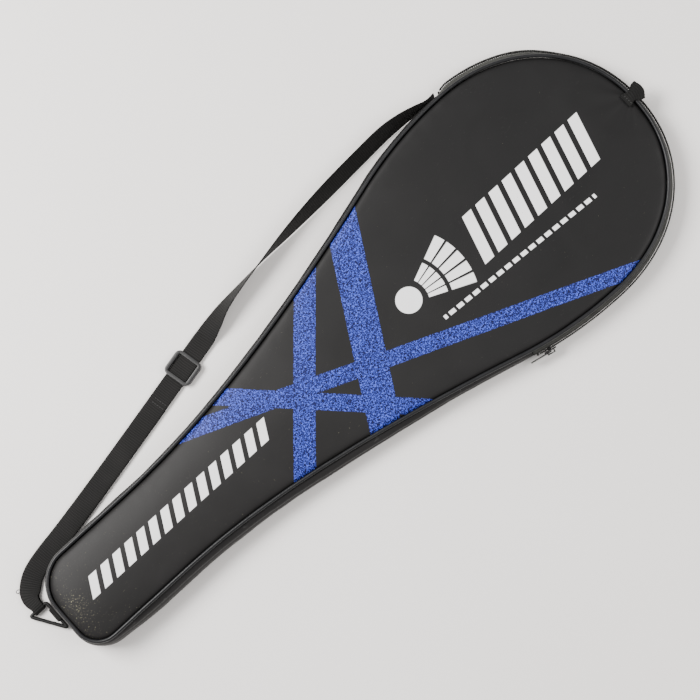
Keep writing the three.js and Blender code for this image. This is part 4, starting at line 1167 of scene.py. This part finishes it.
handle_end = CAP_LENGTH + HANDLE_LENGTH
cone_end = handle_end + 30
hoop_start = HEAD_CENTRE - HOOP_LONG
throat_start = hoop_start - 22
WRAP = 24.0  # the grip tape's advance in one turn


def wrap_shape(angle, x, r):
    """Spiral-wound grip tape: each turn rises to its edge and drops onto the next."""
    turn_part = (x / WRAP + angle / (2 * pi)) % 1
    ridge = 0.45 * smoothstep(turn_part, 0.0, 0.9) - 0.45 * smoothstep(turn_part, 0.92, 1.0)
    return octagon(angle, r) + ridge - 0.35


turned("grip_tape", "grip_wrap", [(CAP_LENGTH, HANDLE_R + GRIP_T + 0.3), (handle_end, HANDLE_R + GRIP_T)], 48,
       grip, "grip", wrap_shape, 1.2)
turned("butt_cap_moulding", "butt_cap", [
    (0, 2.0), (0, 11.3), (0.5, 12.5), (1.6, 13.3), (3.0, 13.5), (12.9, 13.1), (13.6, 12.7), (13.6, 11.5)],
    48, plastic, "plastic", lambda a, x, r: octagon(a, r), 1.5)
turned("handle_cone_moulding", "handle_cone", [
    (handle_end + GAP, SHAFT_R + 0.4), (handle_end + GAP, 11.6), (handle_end + 1, 12.2),
    (handle_end + 6, 10.6), (handle_end + 16, 7.6), (cone_end - 2, 5.6), (cone_end, 5.0),
    (cone_end, SHAFT_R + 0.4)], 32, plastic, "plastic", None, 2.0)
turned("shaft_tube", "shaft", [(handle_end - 59, SHAFT_R), (throat_start + 6, SHAFT_R)],
       24, lacquer, "frame_paint", None, 6.0)
turned("throat_moulding", "throat_joint", [
    (throat_start, SHAFT_R + 0.3), (throat_start, SHAFT_R + 0.8), (throat_start + 1.5, SHAFT_R + 1.1),
    (hoop_start - 8, SHAFT_R + 1.6), (hoop_start - 5.2, SHAFT_R + 1.2), (hoop_start - 5.0, 1.0)], 24, lacquer,
    "frame_paint", None, 1.5)

HOOP_TUBE, HOOP_TALL = 4.6, 5.0
hoop_sections, hoop_along = [], []
HOOP_STEPS, HOOP_SPAN = 160, 4.4  # sections round the hoop and their spacing
for i, angle in enumerate(turns(HOOP_STEPS)):
    ring_points = []
    for a in turns(18):
        groove = 0.75 * exp(-((min(a, 2 * pi - a) / 0.30) ** 2))
        out = HOOP_TUBE * cos(a) - groove
        ring_points.append(on_oval(angle, HOOP_TUBE - out, HOOP_TALL * sin(a)))
    hoop_sections.append(ring_points)
    hoop_along.append(i * HOOP_SPAN)
hoop = sweep("hoop_tube", hoop_sections, lacquer, True, hoop_along)
dress(hoop, "frame_paint", "cover", "hoop_frame")

GROMMET_IN = 2 * HOOP_TUBE + GAP
GROMMET_T = 0.9
bed_long = HOOP_LONG - GROMMET_IN - GROMMET_T - 1.5
bed_wide = HOOP_WIDE - GROMMET_IN - GROMMET_T - 1.5
MAINS, MAIN_PITCH = 20, 8.3
CROSSES, CROSS_PITCH = 21, 9.8
STRING_R = 0.42


def woven(name, node, count, pitch, reach_along, reach_across, other_pitch, sign, place):
    """One continuous string, back and forth across the hoop, over and under the other string."""
    path = []
    for i in range(count):
        at = (i - (count - 1) / 2) * pitch
        reach = reach_along * sqrt(1 - (at / reach_across) ** 2)
        side = 1 if i % 2 else -1
        steps = 60
        for k in range(steps + 1):
            along = side * lerp(-reach, reach, k / steps)
            over = sign * (0.62 if i % 2 else -0.62) * cos(pi * along / other_pitch)
            level = over * smoothstep(reach - abs(along), 0, 8)
            path.append(from_racket(*place(at, along), level))
    obj = tube(name, path, STRING_R, 6, string)
    dress(obj, "string", "cover", node)


woven("main_string", "string_mains", MAINS, MAIN_PITCH, bed_long, bed_wide, CROSS_PITCH, 1,
      lambda y, x: (HEAD_CENTRE + x, y))
woven("cross_string", "string_crosses", CROSSES, CROSS_PITCH, bed_wide, bed_long, MAIN_PITCH, -1,
      lambda x, y: (HEAD_CENTRE + x, y))

GROMMET_LOW = GROMMET_IN + GROMMET_T
strip_profile = ((GROMMET_IN, -2.2), (GROMMET_IN, 2.2), (GROMMET_LOW - 0.3, 2.2), (GROMMET_LOW, 1.8),
                 (GROMMET_LOW, -1.8), (GROMMET_LOW - 0.3, -2.2))
STRIP_STEPS, STRIP_SPAN = 120, 5.0
strip_sections = [[on_oval(a, inset, z) for inset, z in strip_profile] for a in turns(STRIP_STEPS)]
strip = sweep("grommet_strip_moulding", strip_sections, plastic, True,
              [i * STRIP_SPAN for i in range(STRIP_STEPS)])
dress(strip, "plastic", "cover", "grommet_strip")

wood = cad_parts["wooden_handle"]
wood.data.materials.clear()
wood.data.materials.append(timber)


# ---- stage, light and camera ----------------------------------------------------------------
def make_floor():
    g = Graph("pale_floor", "Object")
    colour = g.mix(g.noise(260, 2), (0.84, 0.815, 0.80), (0.90, 0.88, 0.865))
    return g.finish(colour, 0.5, g.noise(2, 3), 0.02)


FLOOR, FLOOR_Z = 3000.0, -0.3
floor_corners = [(x * FLOOR, y * FLOOR, FLOOR_Z) for x, y in ((-1, -1), (1, -1), (1, 1), (-1, 1))]
floor = piece("floor", floor_corners, [(0, 1, 2, 3)], make_floor(), smooth=False)


def light(name, place, size, power, colour):
    data = bpy.data.lights.new(name, "AREA")
    data.shape = "RECTANGLE"
    data.size, data.size_y = size
    data.energy = power
    data.color = colour
    obj = bpy.data.objects.new(name, data)
    bpy.context.collection.objects.link(obj)
    obj.location = place
    obj.rotation_euler = (-Vector(place)).to_track_quat("-Z", "Y").to_euler()


light("key", (-0.78, 1.22, 1.65), (1.2, 1.0), 98, (1.0, 0.985, 0.965))
light("fill", (1.3, -1.1, 1.9), (1.4, 1.2), 44, (1.0, 0.98, 0.96))
world = bpy.data.worlds.new("studio")
world.use_nodes = True
sky = world.node_tree.nodes["Background"]
sky.inputs["Color"].default_value = (1.0, 0.985, 0.97, 1)
sky.inputs["Strength"].default_value = 0.62
bpy.context.scene.world = world

# The camera looks down on the cover from the far side, its top towards the strap side and the
# head, so that the cover's axis climbs from the lower left to the upper right.
LOOK_AT = Vector((4.1, 2.8, 25.0))
PHOTO_UP = Vector((0.6725, 0.7401, 0))
DISTANCE = 1700.0
TILT_FAR = radians(8)
FIELD = 644.1  # millimetres across the frame at the target
SENSOR = 36.0
away = Vector((0, -sin(TILT_FAR), cos(TILT_FAR)))
camera_data = bpy.data.cameras.new("camera")
camera = bpy.data.objects.new("camera", camera_data)
bpy.context.collection.objects.link(camera)
camera.location = (LOOK_AT + away * DISTANCE) * MM
right = PHOTO_UP.cross(away).normalized()
upwards = away.cross(right)
basis = [[right[k], upwards[k], away[k]] for k in range(3)]
camera.rotation_euler = Matrix(basis).to_euler()
camera_data.sensor_width = SENSOR
camera_data.lens = SENSOR * DISTANCE / FIELD
camera_data.clip_end = 20
bpy.context.scene.camera = camera
